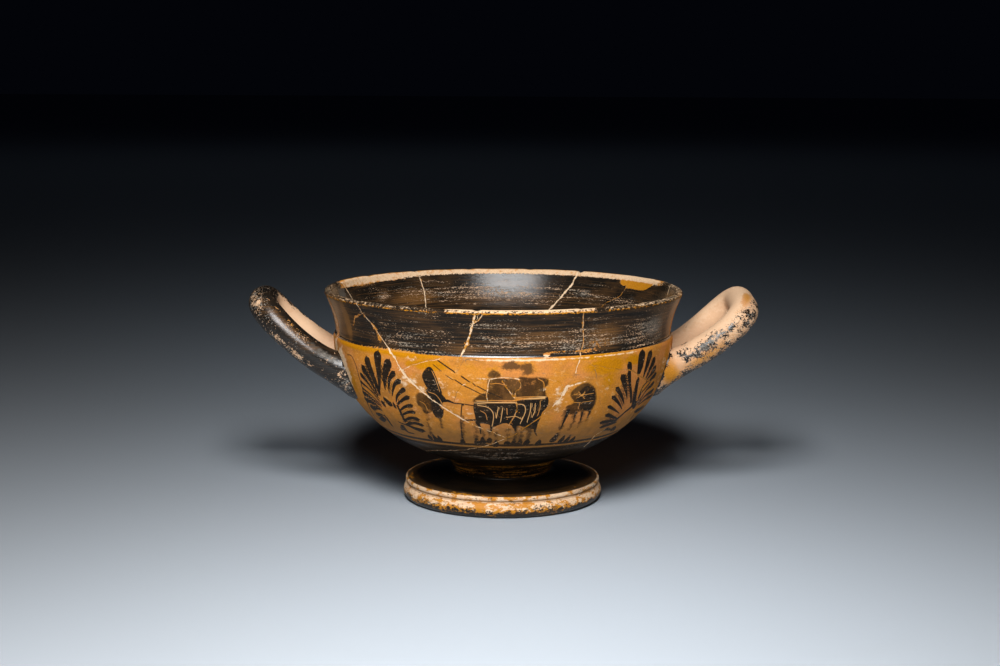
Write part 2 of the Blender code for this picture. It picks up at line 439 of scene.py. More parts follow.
def combined(obj, operation, other):
    """obj cut or joined exactly with another solid, and the result kept as obj's own mesh."""
    modifier = obj.modifiers.new(operation, "BOOLEAN")
    modifier.operation = operation
    modifier.solver = "EXACT"
    modifier.object = other
    graph = bpy.context.evaluated_depsgraph_get()
    mesh = bpy.data.meshes.new_from_object(obj.evaluated_get(graph))
    obj.modifiers.clear()
    obj.data = mesh
    return obj


def vessel():
    """The whole vessel as one closed surface."""
    body = vessel_mesh("skyphos_vessel")
    core = core_mesh("wall_core")
    for name, loop in (("left handle", LEFT_LOOP), ("right handle", RIGHT_LOOP)):
        handle = combined(handle_mesh(name, loop), "DIFFERENCE", core)
        combined(body, "UNION", handle)
        bpy.data.objects.remove(handle)
    bpy.data.objects.remove(core)
    body.data.name = "skyphos_vessel"
    return body


# Painted fields: signed distances in millimetres on the mesh's vertices, below 0 inside the paint


# How far from a line or a shape its fields are worked out, and a thin line's fields with their first values
FAR = 4.0
LINE_PARTS = {"near": FAR, "side": FAR, "half": 0.0, "tone": 0.0}
CURVE_STEPS = 6
# An old break: millimetres of wall to a degree, the steps that it is cut into, and the size of its jumps
DEGREE_LENGTH = 1.2
BREAK_STEP = 1.2
BREAK_JUMP = 0.16
# How many vertices are measured at a time, and how far under the outer surface the inside begins
BATCH = 3000
INSIDE_DEPTH = 1.7


def smooth_route(points, closed=False):
    """A curve through every point: a cubic between each pair, with slopes from the points on either side.
    Columns past the first two, such as the half width, are carried along."""
    p = np.asarray(points, float)
    if closed:
        p = np.concatenate([p[-1:], p, p[:2]])
    else:
        p = np.concatenate([2 * p[:1] - p[1:2], p, 2 * p[-1:] - p[-2:-1]])
    t = np.linspace(0, 1, CURVE_STEPS, endpoint=False)[None, :, None]
    a, b, c, d = (q[:, None] for q in (p[:-3], p[1:-2], p[2:-1], p[3:]))
    cubic = 0.5 * (2 * b + (c - a) * t + (2 * a - 5 * b + 4 * c - d) * t**2 + (3 * b - a - 3 * c + d) * t**3)
    return np.concatenate([cubic.reshape(-1, p.shape[1]), p[-2:-1]])


def shaky(route, size, seed):
    """The route with small sideways jumps, as a broken edge has."""
    random = np.random.default_rng(seed)
    jumps = random.normal(0, size, (len(route), 2))
    jumps[1:-1] = (jumps[:-2] + 2 * jumps[1:-1] + jumps[2:]) / 3
    moved = route.copy()
    moved[:, 0] += jumps[:, 0] * 0.8
    moved[:, 1] += jumps[:, 1]
    return moved


def even_route(points, step):
    """Straight runs through the points, cut into steps of about that many millimetres."""
    p = np.asarray(points, float)
    length = np.hypot(np.diff(p[:, 0]) * DEGREE_LENGTH, np.diff(p[:, 1]))
    total = np.concatenate([[0], np.cumsum(length)])
    even = np.linspace(0, total[-1], max(int(total[-1] / step), 1) + 1)
    return np.stack([np.interp(even, total, p[:, k]) for k in range(p.shape[1])], 1)


class Wall:
    """The vessel's vertices as places on the outer wall, with the fields that are drawn on them. The inside
    is drawn on through the wall."""

    def __init__(self, azimuth, z):
        self.azimuth = azimuth
        self.z = z
        self.height = np.clip(z, FOOT_TOP_Z, RIM_LOW_Z)
        self.spot = wall_point(azimuth, self.height, outer_radius(self.height))
        self.fields = {name: np.full(len(z), FAR) for name in ("paint", "wash", "faded")}
        for name in ("drawn", "incised", "break"):
            for part, first in LINE_PARTS.items():
                self.fields[f"{name}_{part}"] = np.full(len(z), first)

    def close_to(self, route):
        """The vertices whose azimuth and height are not far from the route's box."""
        left, low = route[:, :2].min(0)
        right, high = route[:, :2].max(0)
        radius = max(float(outer_radius(max(low - FAR, 20.0))), 15)
        reach = (right - left) / 2 + math.degrees(FAR / radius)
        inside = abs(angle_between(self.azimuth, (left + right) / 2)) < reach
        inside &= (self.z > low - FAR) & (self.z < high + FAR + 2)
        return np.nonzero(inside)[0]

    def nearest(self, route):
        """The vertices close to a route, and for each the distance to it, the same with the sign of the side
        that it lies on, and the route's half width at its nearest place."""
        who = self.close_to(route)
        line = wall_point(route[:, 0], route[:, 1], outer_radius(route[:, 1]))
        start, run = line[:-1], np.diff(line, axis=0)
        long2 = np.maximum((run**2).sum(1), 1e-9)
        distance, side, half = (np.empty(len(who)) for _ in range(3))
        for first in range(0, len(who), BATCH):
            part = slice(first, first + BATCH)
            spot = self.spot[who[part]]
            reach = spot[:, None] - start[None]
            share = np.clip((reach * run).sum(2) / long2, 0, 1)
            gap = np.linalg.norm(reach - share[..., None] * run, axis=2)
            width = route[:-1, 2] + (route[1:, 2] - route[:-1, 2]) * share
            best = np.argmin(gap - width, axis=1)
            row = np.arange(len(best))
            turn = (np.cross(run[best], reach[row, best]) * spot * (1, 1, 0)).sum(1)
            distance[part] = gap[row, best]
            side[part] = np.copysign(gap[row, best], turn)
            half[part] = width[row, best]
        return who, distance, side, half

    def lower(self, name, who, values):
        """Brings a field down to these values wherever it is above them."""
        self.fields[name][who] = np.minimum(self.fields[name][who], values)

    def stroke(self, name, route):
        """Adds a stroke of the route's half width to a field of paint."""
        who, distance, _, half = self.nearest(route)
        self.lower(name, who, distance - half)

    def shape(self, name, outline):
        """Adds a filled shape: the distance to its outline, below 0 where a ray to the right crosses it an
        odd number of times."""
        route = smooth_route([(*p, 0.0) for p in outline], closed=True)
        who, distance, _, _ = self.nearest(route)
        middle = route[:, 0].mean()
        x = angle_between(self.azimuth[who], middle)
        y = self.height[who]
        inside = np.zeros(len(who), bool)
        for a, b in zip(route[:-1], route[1:]):
            if a[1] != b[1]:
                crossing = (a[0] - middle) + (y - a[1]) * (b[0] - a[0]) / (b[1] - a[1])
                inside ^= ((a[1] > y) != (b[1] > y)) & (x < crossing)
        self.lower(name, who, np.where(inside, -distance, distance))

    def line(self, name, route, tone=0.0):
        """Adds a thin line to the near, side, half and tone fields of its kind, wherever it is the nearest
        one."""
        who, *values = self.nearest(route)
        fields = [self.fields[f"{name}_{part}"] for part in LINE_PARTS]
        closer = values[0] < fields[0][who]
        who = who[closer]
        for field, value in zip(fields, values):
            field[who] = value[closer]
        fields[-1][who] = tone


# Palmettes, drawn as petals from base to tip: each a route of (azimuth, height, half width)
LEFT_PALMETTE = [
    [(-48.8, 51.4, 0.3), (-46.4, 60.4, 1.3), (-46.1, 68, 2.3)],
    [(-45, 54.8, 0.4), (-43.9, 60, 1.3), (-41.6, 65.6, 2.15)],
    [(-43.4, 53.8, 0.3), (-42.7, 56.8, 0.7), (-41.6, 59.7, 0.95), (-39.7, 62, 1.35)],
    [(-42.4, 52.5, 0.3), (-40.9, 55.9, 0.75), (-39.6, 57.9, 0.9), (-37.9, 59.1, 1.25)],
    [(-41.6, 49.8, 0.3), (-40.3, 52.4, 0.65), (-38.6, 54.2, 0.8), (-36.6, 55.8, 1.15)],
    [(-41.7, 48.3, 0.25), (-40.1, 49.8, 0.6), (-37.7, 51.6, 0.8), (-35.7, 52.7, 1.1)],
    [(-41.7, 45.8, 0.3), (-40.4, 46.9, 0.55), (-38, 48.4, 0.75), (-35.4, 49.2, 1.1)],
    [(-42.3, 43.6, 0.3), (-40.3, 44.8, 0.6), (-37.7, 46, 0.8), (-35.5, 46.3, 1.1)],
    [(-42.7, 41.1, 0.35), (-40.6, 42.2, 0.7), (-37.7, 43.4, 0.9), (-35.1, 43.3, 1.15)],
    [(-42.3, 39.8, 0.45), (-39.8, 40.7, 0.8), (-37, 41.1, 0.95), (-34.6, 40.7, 1.2)],
    [(-41.2, 39.5, 0.5), (-39.9, 38.9, 0.75), (-38, 38.4, 0.9), (-35.5, 38, 1.1)],
    [(-48.8, 51.4, 0.3), (-49.5, 58.7, 1.35), (-51.4, 65.3, 2)],
    [(-49.9, 51.5, 0.3), (-51.7, 57.5, 1.05), (-54.2, 61.7, 1.7)],
    [(-50.2, 50.1, 0.3), (-53.2, 55.3, 0.65), (-56.3, 58.5, 1.3)],
    [(-50.5, 48.7, 0.3), (-53.8, 52.9, 0.45), (-58, 55.4, 0.8)],
    [(-51, 47.3, 0.3), (-54.6, 50.6, 0.45), (-58.7, 52.8, 0.75)],
    [(-51.5, 46.3, 0.3), (-55.2, 48.8, 0.7), (-59.4, 50.5, 1.3)],
    [(-52.6, 44.9, 0.3), (-55.7, 46.9, 0.8), (-60.5, 47.4, 1.5)],
    [(-52.8, 44.2, 0.4), (-55.3, 44.8, 0.9), (-59.5, 44.3, 1.6)],
    [(-53.8, 41.6, 0.35), (-55.8, 42, 0.7), (-59, 41.3, 1.2)],
    [(-46.9, 50.2, 1), (-45.5, 48.5, 1.5)],
    [(-49.1, 48.3, 1.1), (-49, 47.3, 0.95)],
    [(-43.2, 48.9, 0.6), (-43.4, 47.5, 0.7)],
    [(-41.8, 48, 0.55), (-41.7, 46.1, 0.65), (-42, 41.3, 0.65)],
    [(-64.3, 65.7, 0.2), (-61.6, 65.9, 0.25), (-59.8, 64.3, 0.3), (-58.7, 61.2, 0.33),
     (-58.7, 57.1, 0.35)],
    [(-58.7, 57.1, 0.35), (-58.8, 54.1, 0.35), (-60.2, 48.7, 0.4), (-63, 42.9, 0.45), (-67.4, 36.6, 0.45)],
    [(-59.5, 39.3, 0.45), (-56, 40.5, 0.95), (-55.4, 39.8, 0.85), (-58.8, 38.4, 0.85), (-60, 38.7, 0.9)],
    [(-53, 42.1, 0.45), (-52.9, 40.1, 0.7), (-53.9, 36.9, 0.7)],
    [(-47.5, 37.4, 0.4), (-45.6, 38.2, 1.1), (-46.4, 36.9, 0.75), (-48.1, 36.4, 0.7)],
    [(-45.2, 37.4, 0.5), (-45.4, 35.6, 0.8), (-42.6, 35.3, 0.55)],
    [(-46.2, 40.1, 0.4), (-42.4, 39.3, 0.55), (-39.3, 38, 0.6), (-36.6, 36.9, 0.45)],
]
RIGHT_PALMETTE = [
    [(48.9, 48.3, 0.6), (44.2, 56.4, 0.85), (42.3, 61.5, 1.2)],
    [(42.3, 63.4, 1.3), (41.9, 64.9, 1.5)],
    [(47.5, 61.6, 1.5), (47.7, 64.9, 2.1), (48, 67.9, 2.35)],
    [(51.5, 46.8, 1), (48.8, 53.3, 1.15), (47.9, 57.8, 1.2)],
    [(50.9, 58.9, 0.6), (51.5, 63.3, 1.4), (52.8, 67.4, 1.95)],
    [(52.7, 57.8, 0.5), (54.2, 61.5, 1.25), (55.8, 64.6, 1.7)],
    [(54, 57.1, 0.45), (55.9, 59, 1.05), (57.6, 60.9, 1.6)],
    [(56.1, 56.3, 0.4), (57.7, 57.1, 1), (59.4, 57.9, 1.5)],
    [(54.9, 47, 0.5), (56.6, 51.8, 0.7), (60.3, 54, 1.4)],
    [(55.9, 46.4, 0.55), (58.5, 49.4, 0.8), (64.1, 50.4, 1.4)],
    [(57.3, 45.7, 0.55), (61.1, 47.3, 0.9), (67.6, 47.6, 1.2)],
    [(52.8, 49.3, 0.4), (52.5, 53.8, 0.45), (54.7, 56, 0.55)],
    [(53.7, 47.8, 0.45), (53.7, 51.6, 0.5), (57.2, 55, 0.65)],
    [(58.6, 42.7, 1.2), (62, 42.4, 1.6), (65.4, 42.8, 1.4)],
    [(51.9, 47.3, 1.2), (54, 45.3, 1.2)],
    [(45.2, 50.6, 0.3), (41.9, 56, 1.05), (39.6, 60.3, 1.5)],
    [(44.8, 48.4, 0.3), (41.1, 52.7, 0.85), (38.3, 55.7, 1.15)],
    [(45.1, 46.1, 0.3), (41, 49.6, 0.7), (37.6, 52.3, 1)],
    [(45.3, 44, 0.25), (41, 46.3, 0.6), (37.3, 48.3, 0.9)],
    [(46.4, 41.4, 0.4), (42.6, 42.8, 0.75), (38.5, 44.4, 1.1)],
    [(46.3, 40.4, 0.55), (42.3, 40.9, 0.95), (38.1, 41.1, 1.2)],
    [(47.5, 39.4, 0.55), (43.8, 39.1, 0.9), (39.9, 38.7, 1.1)],
    [(46.4, 40.9, 0.85), (48.5, 43.5, 0.75), (51, 45.4, 0.95), (52.6, 47.2, 1.1)],
    [(43.5, 36.5, 0.7), (44.7, 36.9, 1.05), (48.3, 35.9, 0.6)],
    [(51, 35.1, 0.8), (49.7, 36.6, 1.1), (52, 36, 0.65), (53.3, 34.7, 0.8)],
    [(61.6, 38.2, 0.6), (61.1, 39.8, 0.6)],
]

# The figures are generic: one cloaked and standing, a team with its drivers, and one bent and draped.
# Outlines are (azimuth, height); those under a wash are browner and more worn
STANDING_FIGURE = [
    [(-25.9, 66.4), (-24.7, 65.6), (-23.7, 62.8), (-22.8, 59.2), (-22.2, 56.2), (-23, 55.2),
     (-25.2, 56.2), (-27, 57.5), (-28.1, 60), (-28.5, 62.7), (-27.4, 65)],
    [(-27.4, 55), (-25.2, 55.6), (-23.2, 54.6), (-22.5, 51.4), (-22.9, 47.8), (-24.2, 45.1), (-26.4, 45),
     (-27.2, 47.6), (-26.9, 51.4)],
    [(-27.8, 57), (-24.6, 57.4), (-22.4, 55.6), (-20.8, 52.8), (-22.4, 52.2), (-24.8, 53.4), (-27, 54.4)],
]
TEAM = [
    [(-11.6, 52.9), (-6, 53.2), (0.5, 53.4), (6.4, 54.9), (11, 55.5), (12.4, 54.4), (12.5, 51),
     (11, 48.4), (10.7, 45.5), (9.6, 41.4), (8.6, 41), (6.9, 41.7), (4.6, 42.4), (2.3, 42.8),
     (1.4, 41.3), (0.7, 42.9), (-1.4, 43.9), (-3.6, 43.2), (-5.7, 42.1), (-7.2, 43.1), (-9.6, 43.6),
     (-11.6, 43.4), (-11.9, 46.4)],
]
BENT_FIGURE = [
    [(23.6, 57.4), (26.2, 58.6), (28.4, 56.6), (29.6, 53), (29.8, 49.8), (28.6, 47.8), (25.6, 48.6),
     (23.4, 50.4), (22.4, 53.6)],
]
WASHED = [
    [(-32.4, 52), (-31.9, 54.4), (-30.4, 55.4), (-28.2, 54.9), (-26.4, 52.6), (-26.4, 49.3),
     (-27.7, 47.3), (-30.6, 46.3), (-31.2, 48.9), (-32.3, 49.8)],
    [(-11.9, 52.9), (-10.9, 55.1), (-8.4, 56.8), (-6.4, 56.4), (-6.4, 53.2)],
    [(-6.9, 62.7), (-2.8, 63.1), (1.7, 63.1), (1.8, 59), (1.6, 54.4), (-2.7, 53.4), (-7.1, 53.3),
     (-7, 59)],
    [(2.1, 62.9), (6.1, 63.2), (11.3, 62.8), (12, 60), (10.9, 58.8), (11.5, 54.7), (6.4, 55.2), (1.9, 55)],
    [(-7, 63.4), (-6.8, 65), (-5.6, 66.2), (-3.8, 65.4), (-3, 63.7), (-5, 63)],
    [(20, 56.6), (22.5, 59.2), (25.5, 59.9), (28.2, 57.9), (29.9, 54.2), (30.4, 50), (29.2, 47),
     (27.6, 47.8), (26, 47.2), (23.5, 48), (21.9, 46.6), (19.8, 48.4), (19.2, 50.7), (21.6, 51.8),
     (20, 54.6)],
]
FADED = [
    [(-2.5, 66.5), (-2.3, 68.8), (-0.2, 69.6), (2.5, 68.7), (4.7, 69), (6.4, 68.6), (6.8, 64.8),
     (4.3, 64.5), (3.2, 66.4), (-0.1, 66)],
    [(4.6, 44.6), (6.4, 45.2), (8.2, 44), (7.6, 40.6), (5.2, 40.8)],
]
# Thin paint that has run down under the figures, as (azimuth, height, half width)
RUNS = [
    [(-16.2, 46.3, 0.35), (-17.4, 41, 0.5), (-18.8, 34.8, 0.7)],
    [(-11.9, 43.4, 0.6), (-12.4, 39, 0.5), (-13, 34.6, 0.8)],
    [(-9.5, 40.4, 0.4), (-10, 34.8, 0.7)],
    [(-7.3, 40.6, 0.4), (-7.4, 34.8, 0.6)],
    [(-4.9, 39.4, 0.4), (-5.2, 34, 0.7)],
    [(-0.6, 41, 0.4), (-0.4, 34, 0.6)],
    [(2.5, 42.6, 0.8), (2.9, 34, 0.6)],
    [(4.7, 41.5, 0.5), (4.8, 34, 0.7)],
    [(8, 41.5, 0.7), (7.8, 34, 0.8)],
    [(19.6, 48.4, 1), (19.7, 42, 0.8), (19.6, 37, 0.5)],
    [(23.4, 47.4, 0.8), (23.6, 43, 0.6), (23.6, 39.6, 0.3)],
    [(26.2, 47.2, 0.8), (26.8, 43, 0.5), (26.8, 40.4, 0.3)],
    [(29.3, 47.4, 0.6), (29.2, 43.2, 0.3)],
    [(-29.6, 46.8, 0.6), (-31.4, 40, 0.35), (-32.4, 36, 0.3)],
    [(-24.6, 45.6, 0.6), (-26, 40, 0.4)],
]
# Spears, reins and arms: (azimuth, height, half width)
SPEARS = [
    [(-22.8, 69.1, 0.26), (-17.5, 65, 0.26)],
    [(-15.1, 63.2, 0.3), (-13, 61.4, 0.26)],
    [(-11.7, 60.6, 0.22), (-11.1, 59.9, 0.22)],
    [(-10.2, 59.5, 0.24), (-7.4, 57.6, 0.22), (-2.8, 55, 0.2)],
    [(-24.2, 67.2, 0.16), (-22, 65.1, 0.16)],
    [(-20.1, 63.3, 0.16), (-18.3, 61.9, 0.16)],
    [(-17.3, 61.7, 0.24), (-14.9, 59.8, 0.24), (-12.8, 58.6, 0.22), (-9.4, 56.5, 0.2), (-7.1, 55.7, 0.2)],
    [(-18.6, 52.1, 0.3), (-15.2, 51.9, 0.26), (-11.9, 51.4, 0.26)],
    [(-15.9, 51.5, 0.24), (-17.4, 43.6, 0.22), (-18.9, 34.8, 0.4)],
    [(-16.2, 44.8, 0.4), (-12.1, 45.1, 0.45)],
    [(20.4, 48.4, 0.8), (19.9, 43.6, 0.45), (19.7, 40.5, 0.2)],
    [(23.6, 47.4, 0.5), (23.6, 44.4, 0.2)],
    [(26.2, 47, 0.5), (26.6, 43.6, 0.2)],
    [(29.2, 47.4, 0.5), (29.2, 44.6, 0.2)],
]
ARMS = [
    [(-23.4, 52.4, 0.6), (-20.9, 53, 0.6), (-18.8, 52.2, 0.4)],
    [(-11.4, 44.2, 0.8), (-10.6, 41.4, 0.45), (-10.8, 38.6, 0.3)],
    [(-6.4, 43, 0.6), (-6.6, 40.2, 0.35)],
    [(9.4, 42.6, 0.8), (9.8, 39.8, 0.45), (11, 37.6, 0.3)],
    [(2, 43, 0.6), (2.4, 40, 0.3)],
]
# Feet on the ground line: azimuth, height, half width, and how far a drip of paint runs up from it
FEET = [
    (-34.1, 34.6, 0.5, 0.6), (-31.7, 34.2, 0.5, 1.8), (-29.5, 34.2, 0.5, 1.2), (-19.2, 33.9, 0.6, 0.4),
    (-13, 33.8, 0.75, 1.8), (-10.4, 34.5, 0.8, 2), (-7.6, 35.4, 0.6, 0.4), (-5.2, 33.4, 0.75, 1.2),
    (-0.5, 34, 0.7, 0.3), (2.2, 33.9, 0.6, 1.8), (4.7, 33.9, 0.6, 1.6), (7.7, 34.3, 0.75, 1),
    (12.8, 33.7, 0.7, 1.4), (19, 35.3, 0.95, 2.4), (22.8, 34.5, 0.6, 1.8), (25.6, 33.9, 0.6, 2.2),
    (28.4, 33.8, 0.6, 1.2),
]
# Incised lines, as (azimuth, height) with one half width for all
INCISED_HALF = 0.13
BRIGHT_LINES = [
    [(-11, 53.7), (-4.6, 53.9), (1.6, 53.9)],
    [(-11.5, 52.6), (-5, 52.9), (1.8, 52.9)],
    [(1.8, 55.2), (6.4, 55.4), (11.4, 55.2)],
    [(1.8, 54.4), (6.4, 54.4), (11.2, 54.4)],
    [(-10.5, 51.6), (-7.6, 51), (-5.9, 49.2), (-5.5, 46.5), (-6.2, 42.5)],
    [(-3.8, 50.8), (-4.2, 48.6), (-4.6, 46)],
    [(-2.4, 50.6), (-2.7, 48), (-3.1, 44.6)],
    [(2.8, 52.4), (4.5, 51.9), (5.2, 49.5), (4.5, 46), (3.8, 43.8)],
    [(-1, 46.6), (2, 47), (4.3, 45.6)],
    [(6.8, 52.4), (6.8, 49), (6.2, 44.4)],
    [(8.2, 52.2), (8.4, 49.4), (7.8, 46.6)],
]
INCISED = [
    [(-9.6, 49.2), (-8.2, 48), (-7.8, 45.6)],
    [(-1, 50.4), (-0.9, 48)],
    [(9.8, 53.2), (10, 50.6), (9.6, 47.2)],
    [(8.6, 62.6), (10.4, 61), (10.6, 57.8)],
    [(-6.2, 60.6), (-4, 60.9), (-1.4, 60.2)],
    [(22.8, 56.3), (24, 54.8), (25.2, 53.5)],
    [(22.6, 53.9), (24, 54.8), (25, 56.2)],
    [(21.4, 55.4), (24.2, 55), (28.2, 55.2)],
    [(21.8, 52), (24.2, 51.8), (28.8, 52)],
    [(24, 51.4), (23.9, 49.2)],
    [(-24.8, 64.6), (-23.9, 61.8), (-23.2, 58.4), (-23, 56.8)],
    [(-26.8, 56), (-24.4, 55), (-22.8, 51.6), (-23.2, 49.2)],
    [(-30.9, 51.6), (-29.4, 50.6), (-28.9, 48.2)],
]

# Old breaks, glued and filled: the fill's tone, from 0 grey over 0.5 ochre to 1 cream, and the route as
# (azimuth, height, half width)
BREAKS = [
    (1, [(-53.6, 90, 0.3), (-50.8, 84.8, 0.32), (-46.6, 78.6, 0.34), (-42, 71.8, 0.42),
        (-39.1, 69.1, 0.85), (-36.8, 65.1, 0.95), (-33.5, 60.4, 0.9), (-29.8, 56.2, 0.7),
        (-26.6, 53.4, 0.5), (-22.9, 50, 0.5), (-20.7, 48.5, 0.5), (-18.2, 46.7, 0.65), (-16, 44.9, 0.4)]),
    (0.6, [(-16, 44.9, 0.4), (-12.8, 42.6, 0.6), (-8.6, 40.7, 0.5), (-5.8, 39.6, 0.4), (-2, 37.5, 0.36)]),
    (0.6, [(-59.2, 78.6, 0.15), (-56.4, 82.5, 0.18), (-50.8, 84.8, 0.22)]),
    (0.7, [(21.5, 90, 0.2), (22.6, 81, 0.16), (23.4, 75.5, 0.2), (22.7, 72.9, 0.2), (22.2, 70, 0.3)]),
    (0.85, [(22.2, 70, 0.3), (21.5, 67.4, 0.3), (20.7, 63.9, 0.3)]),
    (0.35, [(20.7, 63.9, 0.25), (19.6, 61.2, 0.4), (18.4, 59.3, 0.55)]),
    (0.9, [(18.4, 59.3, 0.7), (17.3, 55.8, 1.1), (15.7, 52.6, 0.9), (14.2, 50.6, 0.6)]),
    (0.4, [(14.2, 50.6, 0.5), (13.1, 49.4, 0.34), (9.8, 45.6, 0.3), (6.7, 42.6, 0.34), (2.3, 38.4, 0.36),
        (-1.4, 36.5, 0.34)]),
    (0.7, [(-1.4, 36.5, 0.32), (-3.4, 35.2, 0.3), (-7.8, 33, 0.3), (-15, 30.8, 0.28),
        (-23.2, 29.2, 0.26), (-45.8, 26.2, 0.25), (-64, 22, 0.25)]),
    (0.75, [(-37, 63.5, 0.2), (-33, 65.6, 0.25), (-28.7, 67.4, 0.2), (-24.5, 69.1, 0.2),
        (-21.6, 70.1, 0.25)]),
    (0.7, [(-15.6, 70.4, 0.5), (-14.9, 72.7, 0.8), (-13.4, 76, 1), (-12.8, 78.7, 0.6),
        (-11.4, 83.6, 0.8), (-10.3, 90, 0.6)]),
    (0.8, [(-11.6, 84, 0.22), (-9.6, 85.6, 0.25), (-8.4, 88.6, 0.25)]),
    (0.1, [(-14.5, 69.4, 0.16), (-15.6, 67.8, 0.16), (-16.4, 65.5, 0.16)]),
    (0.25, [(-13.8, 70.5, 0.4), (-10.1, 69.6, 0.15), (-6.7, 68.2, 0.15), (-3.1, 67.1, 0.15)]),
    (0.45, [(-7.7, 62.7, 0.2), (-11.4, 61.4, 0.33), (-14.6, 60, 0.33), (-17, 57.1, 0.22)]),
    (0.3, [(-17, 57.1, 0.2), (-17.9, 54.2, 0.2), (-18.5, 51.6, 0.22), (-19.1, 49.1, 0.22)]),
    (0.8, [(-10.1, 62.6, 0.16), (-7.4, 62.8, 0.24), (-1, 63.2, 0.28), (2.7, 62.6, 0.24)]),
    (0.75, [(-6.6, 62.6, 0.24), (-7.1, 57.6, 0.3), (-7.4, 54, 0.24)]),
    (0.5, [(-2.5, 62, 0.2), (-1.6, 59.3, 0.24), (1, 55.2, 0.3)]),
    (0.5, [(2.1, 62.9, 0.24), (3.2, 61, 0.26), (3.1, 58.8, 0.24), (1.6, 57.7, 0.24), (1.3, 55.4, 0.24),
        (2.1, 52.7, 0.24), (2.5, 50, 0.24), (1.8, 47.2, 0.24), (0.5, 45, 0.2), (-0.8, 40.4, 0.2)]),
    (0.8, [(18, 58.4, 0.5), (19.9, 59.4, 0.6), (22.6, 59.9, 0.55), (24.4, 60.6, 0.3)]),
    (0.5, [(11.8, 61.9, 0.24), (14.7, 61.5, 0.28), (16.3, 60.1, 0.2), (17.1, 59, 0.16)]),
    (0, [(7.3, 65.8, 0.16), (10.5, 64.5, 0.17), (13.7, 63.8, 0.17), (18.2, 63.5, 0.17),
        (21.6, 63.5, 0.17), (25.4, 63.7, 0.17), (27.5, 64.7, 0.18)]),
    (0.05, [(22.3, 69.6, 0.15), (25.5, 67.8, 0.19), (27.8, 65.3, 0.2), (28.9, 60, 0.18),
        (31.9, 51.4, 0.19), (36.1, 45.6, 0.22)]),
    (0.15, [(5.9, 39.7, 0.2), (11.4, 39, 0.2), (18, 38.2, 0.22), (27.8, 36.2, 0.25), (37.9, 34.6, 0.28)]),
    (0.7, [(43.1, 36.8, 0.4), (39.9, 34.4, 0.4), (42.9, 28.4, 0.4)]),
    (0.35, [(25, 66.8, 0.16), (27.8, 66.4, 0.16), (31.9, 65.3, 0.2), (36.3, 64, 0.24), (41.6, 63.1, 0.3),
        (45.8, 61.3, 0.5), (49.8, 58.7, 0.55), (56.2, 56, 0.27)]),
    (0.95, [(-107.6, 90, 0.75), (-109, 86.4, 0.6), (-110, 84.5, 0.45), (-112, 80.7, 0.4),
        (-118, 72, 0.4), (-128, 60, 0.4), (-150, 50, 0.4), (-180, 42, 0.4)]),
    (0.95, [(-149.2, 90, 0.7), (-149.6, 88, 0.5), (-150.4, 85.4, 0.4), (-151.3, 80, 0.4),
        (-151, 73.3, 0.4), (-156, 62, 0.4), (-168, 50, 0.4), (-180, 42, 0.4)]),
    (1, [(148.6, 90, 0.8), (149.2, 88.7, 0.8), (151.3, 83.1, 0.75), (154.4, 77.6, 0.75),
        (159.4, 71.4, 0.7), (168, 58, 0.5), (180, 42, 0.4)]),
    (0.45, [(126, 86, 0.3), (126.5, 84.1, 0.26), (128.4, 79.9, 0.24), (134.9, 77, 0.24),
        (137.3, 74, 0.25), (143, 68, 0.25), (161, 66, 0.3)]),
    (0.8, [(98, 90, 0.6), (95.4, 84, 0.5), (92.6, 78, 0.4), (88, 70, 0.3)]),
]

# How much thinner a petal is drawn and how much wider a foot, and the share of a break's width that is filled
PETAL_SOFTNESS = 0.07
FOOT_SPREAD = 0.5
BREAK_SHARE = 0.5


def placed(points, around, turned):
    """A route or outline of the front, carried round the cup to another side."""
    route = np.array(points, float)
    route[:, 0] = around + turned * route[:, 0]
    return route


def painted_side(wall, around, turned):
    """One side's picture: palmettes by the handles, the figures between them and their feet on the ground
    line."""
    for petal in LEFT_PALMETTE + RIGHT_PALMETTE:
        route = smooth_route(placed(petal, around, 1))
        route[:, 2] -= PETAL_SOFTNESS
        wall.stroke("paint", route)
        wall.line("drawn", route)
    for outline in STANDING_FIGURE + TEAM + BENT_FIGURE:
        wall.shape("paint", placed(outline, around, turned))
    for outline in WASHED:
        wall.shape("wash", placed(outline, around, turned))
    for stroke in ARMS:
        wall.stroke("paint", smooth_route(placed(stroke, around, turned)))
    for stroke in SPEARS:
        wall.line("drawn", smooth_route(placed(stroke, around, turned)))
    for azimuth, z, half, drip in FEET:
        half += FOOT_SPREAD
        foot = [(azimuth - 0.25, z - 0.6, half), (azimuth, z + 0.4, half)]
        foot.append((azimuth + 0.1, z + 0.8 + drip, 0.28))
        wall.stroke("paint", placed(foot, around, turned))
    for run in RUNS:
        wall.stroke("faded", smooth_route(placed(run, around, turned)))
    for tone, lines in ((1.0, BRIGHT_LINES), (0.0, INCISED)):
        for line in lines:
            route = placed([(*p, INCISED_HALF) for p in line], around, turned)
            wall.line("incised", smooth_route(route), tone)


def soft_patches(azimuth, z, patches):
    """Soft ellipses as one mask: for each (azimuth, height, half width in degrees, half height, strength) a
    bell of the distance from its middle, the strongest kept. One of negative strength is taken off those
    before it."""
    mask = np.zeros(len(azimuth))
    for middle, height, half_turn, half_height, strength in patches:
        r2 = (angle_between(azimuth, middle) / half_turn) ** 2 + ((z - height) / half_height) ** 2
        bell = strength * np.exp(-(r2**1.3))
        mask = np.maximum(mask, bell) if strength > 0 else np.maximum(mask + bell, 0)
    return mask


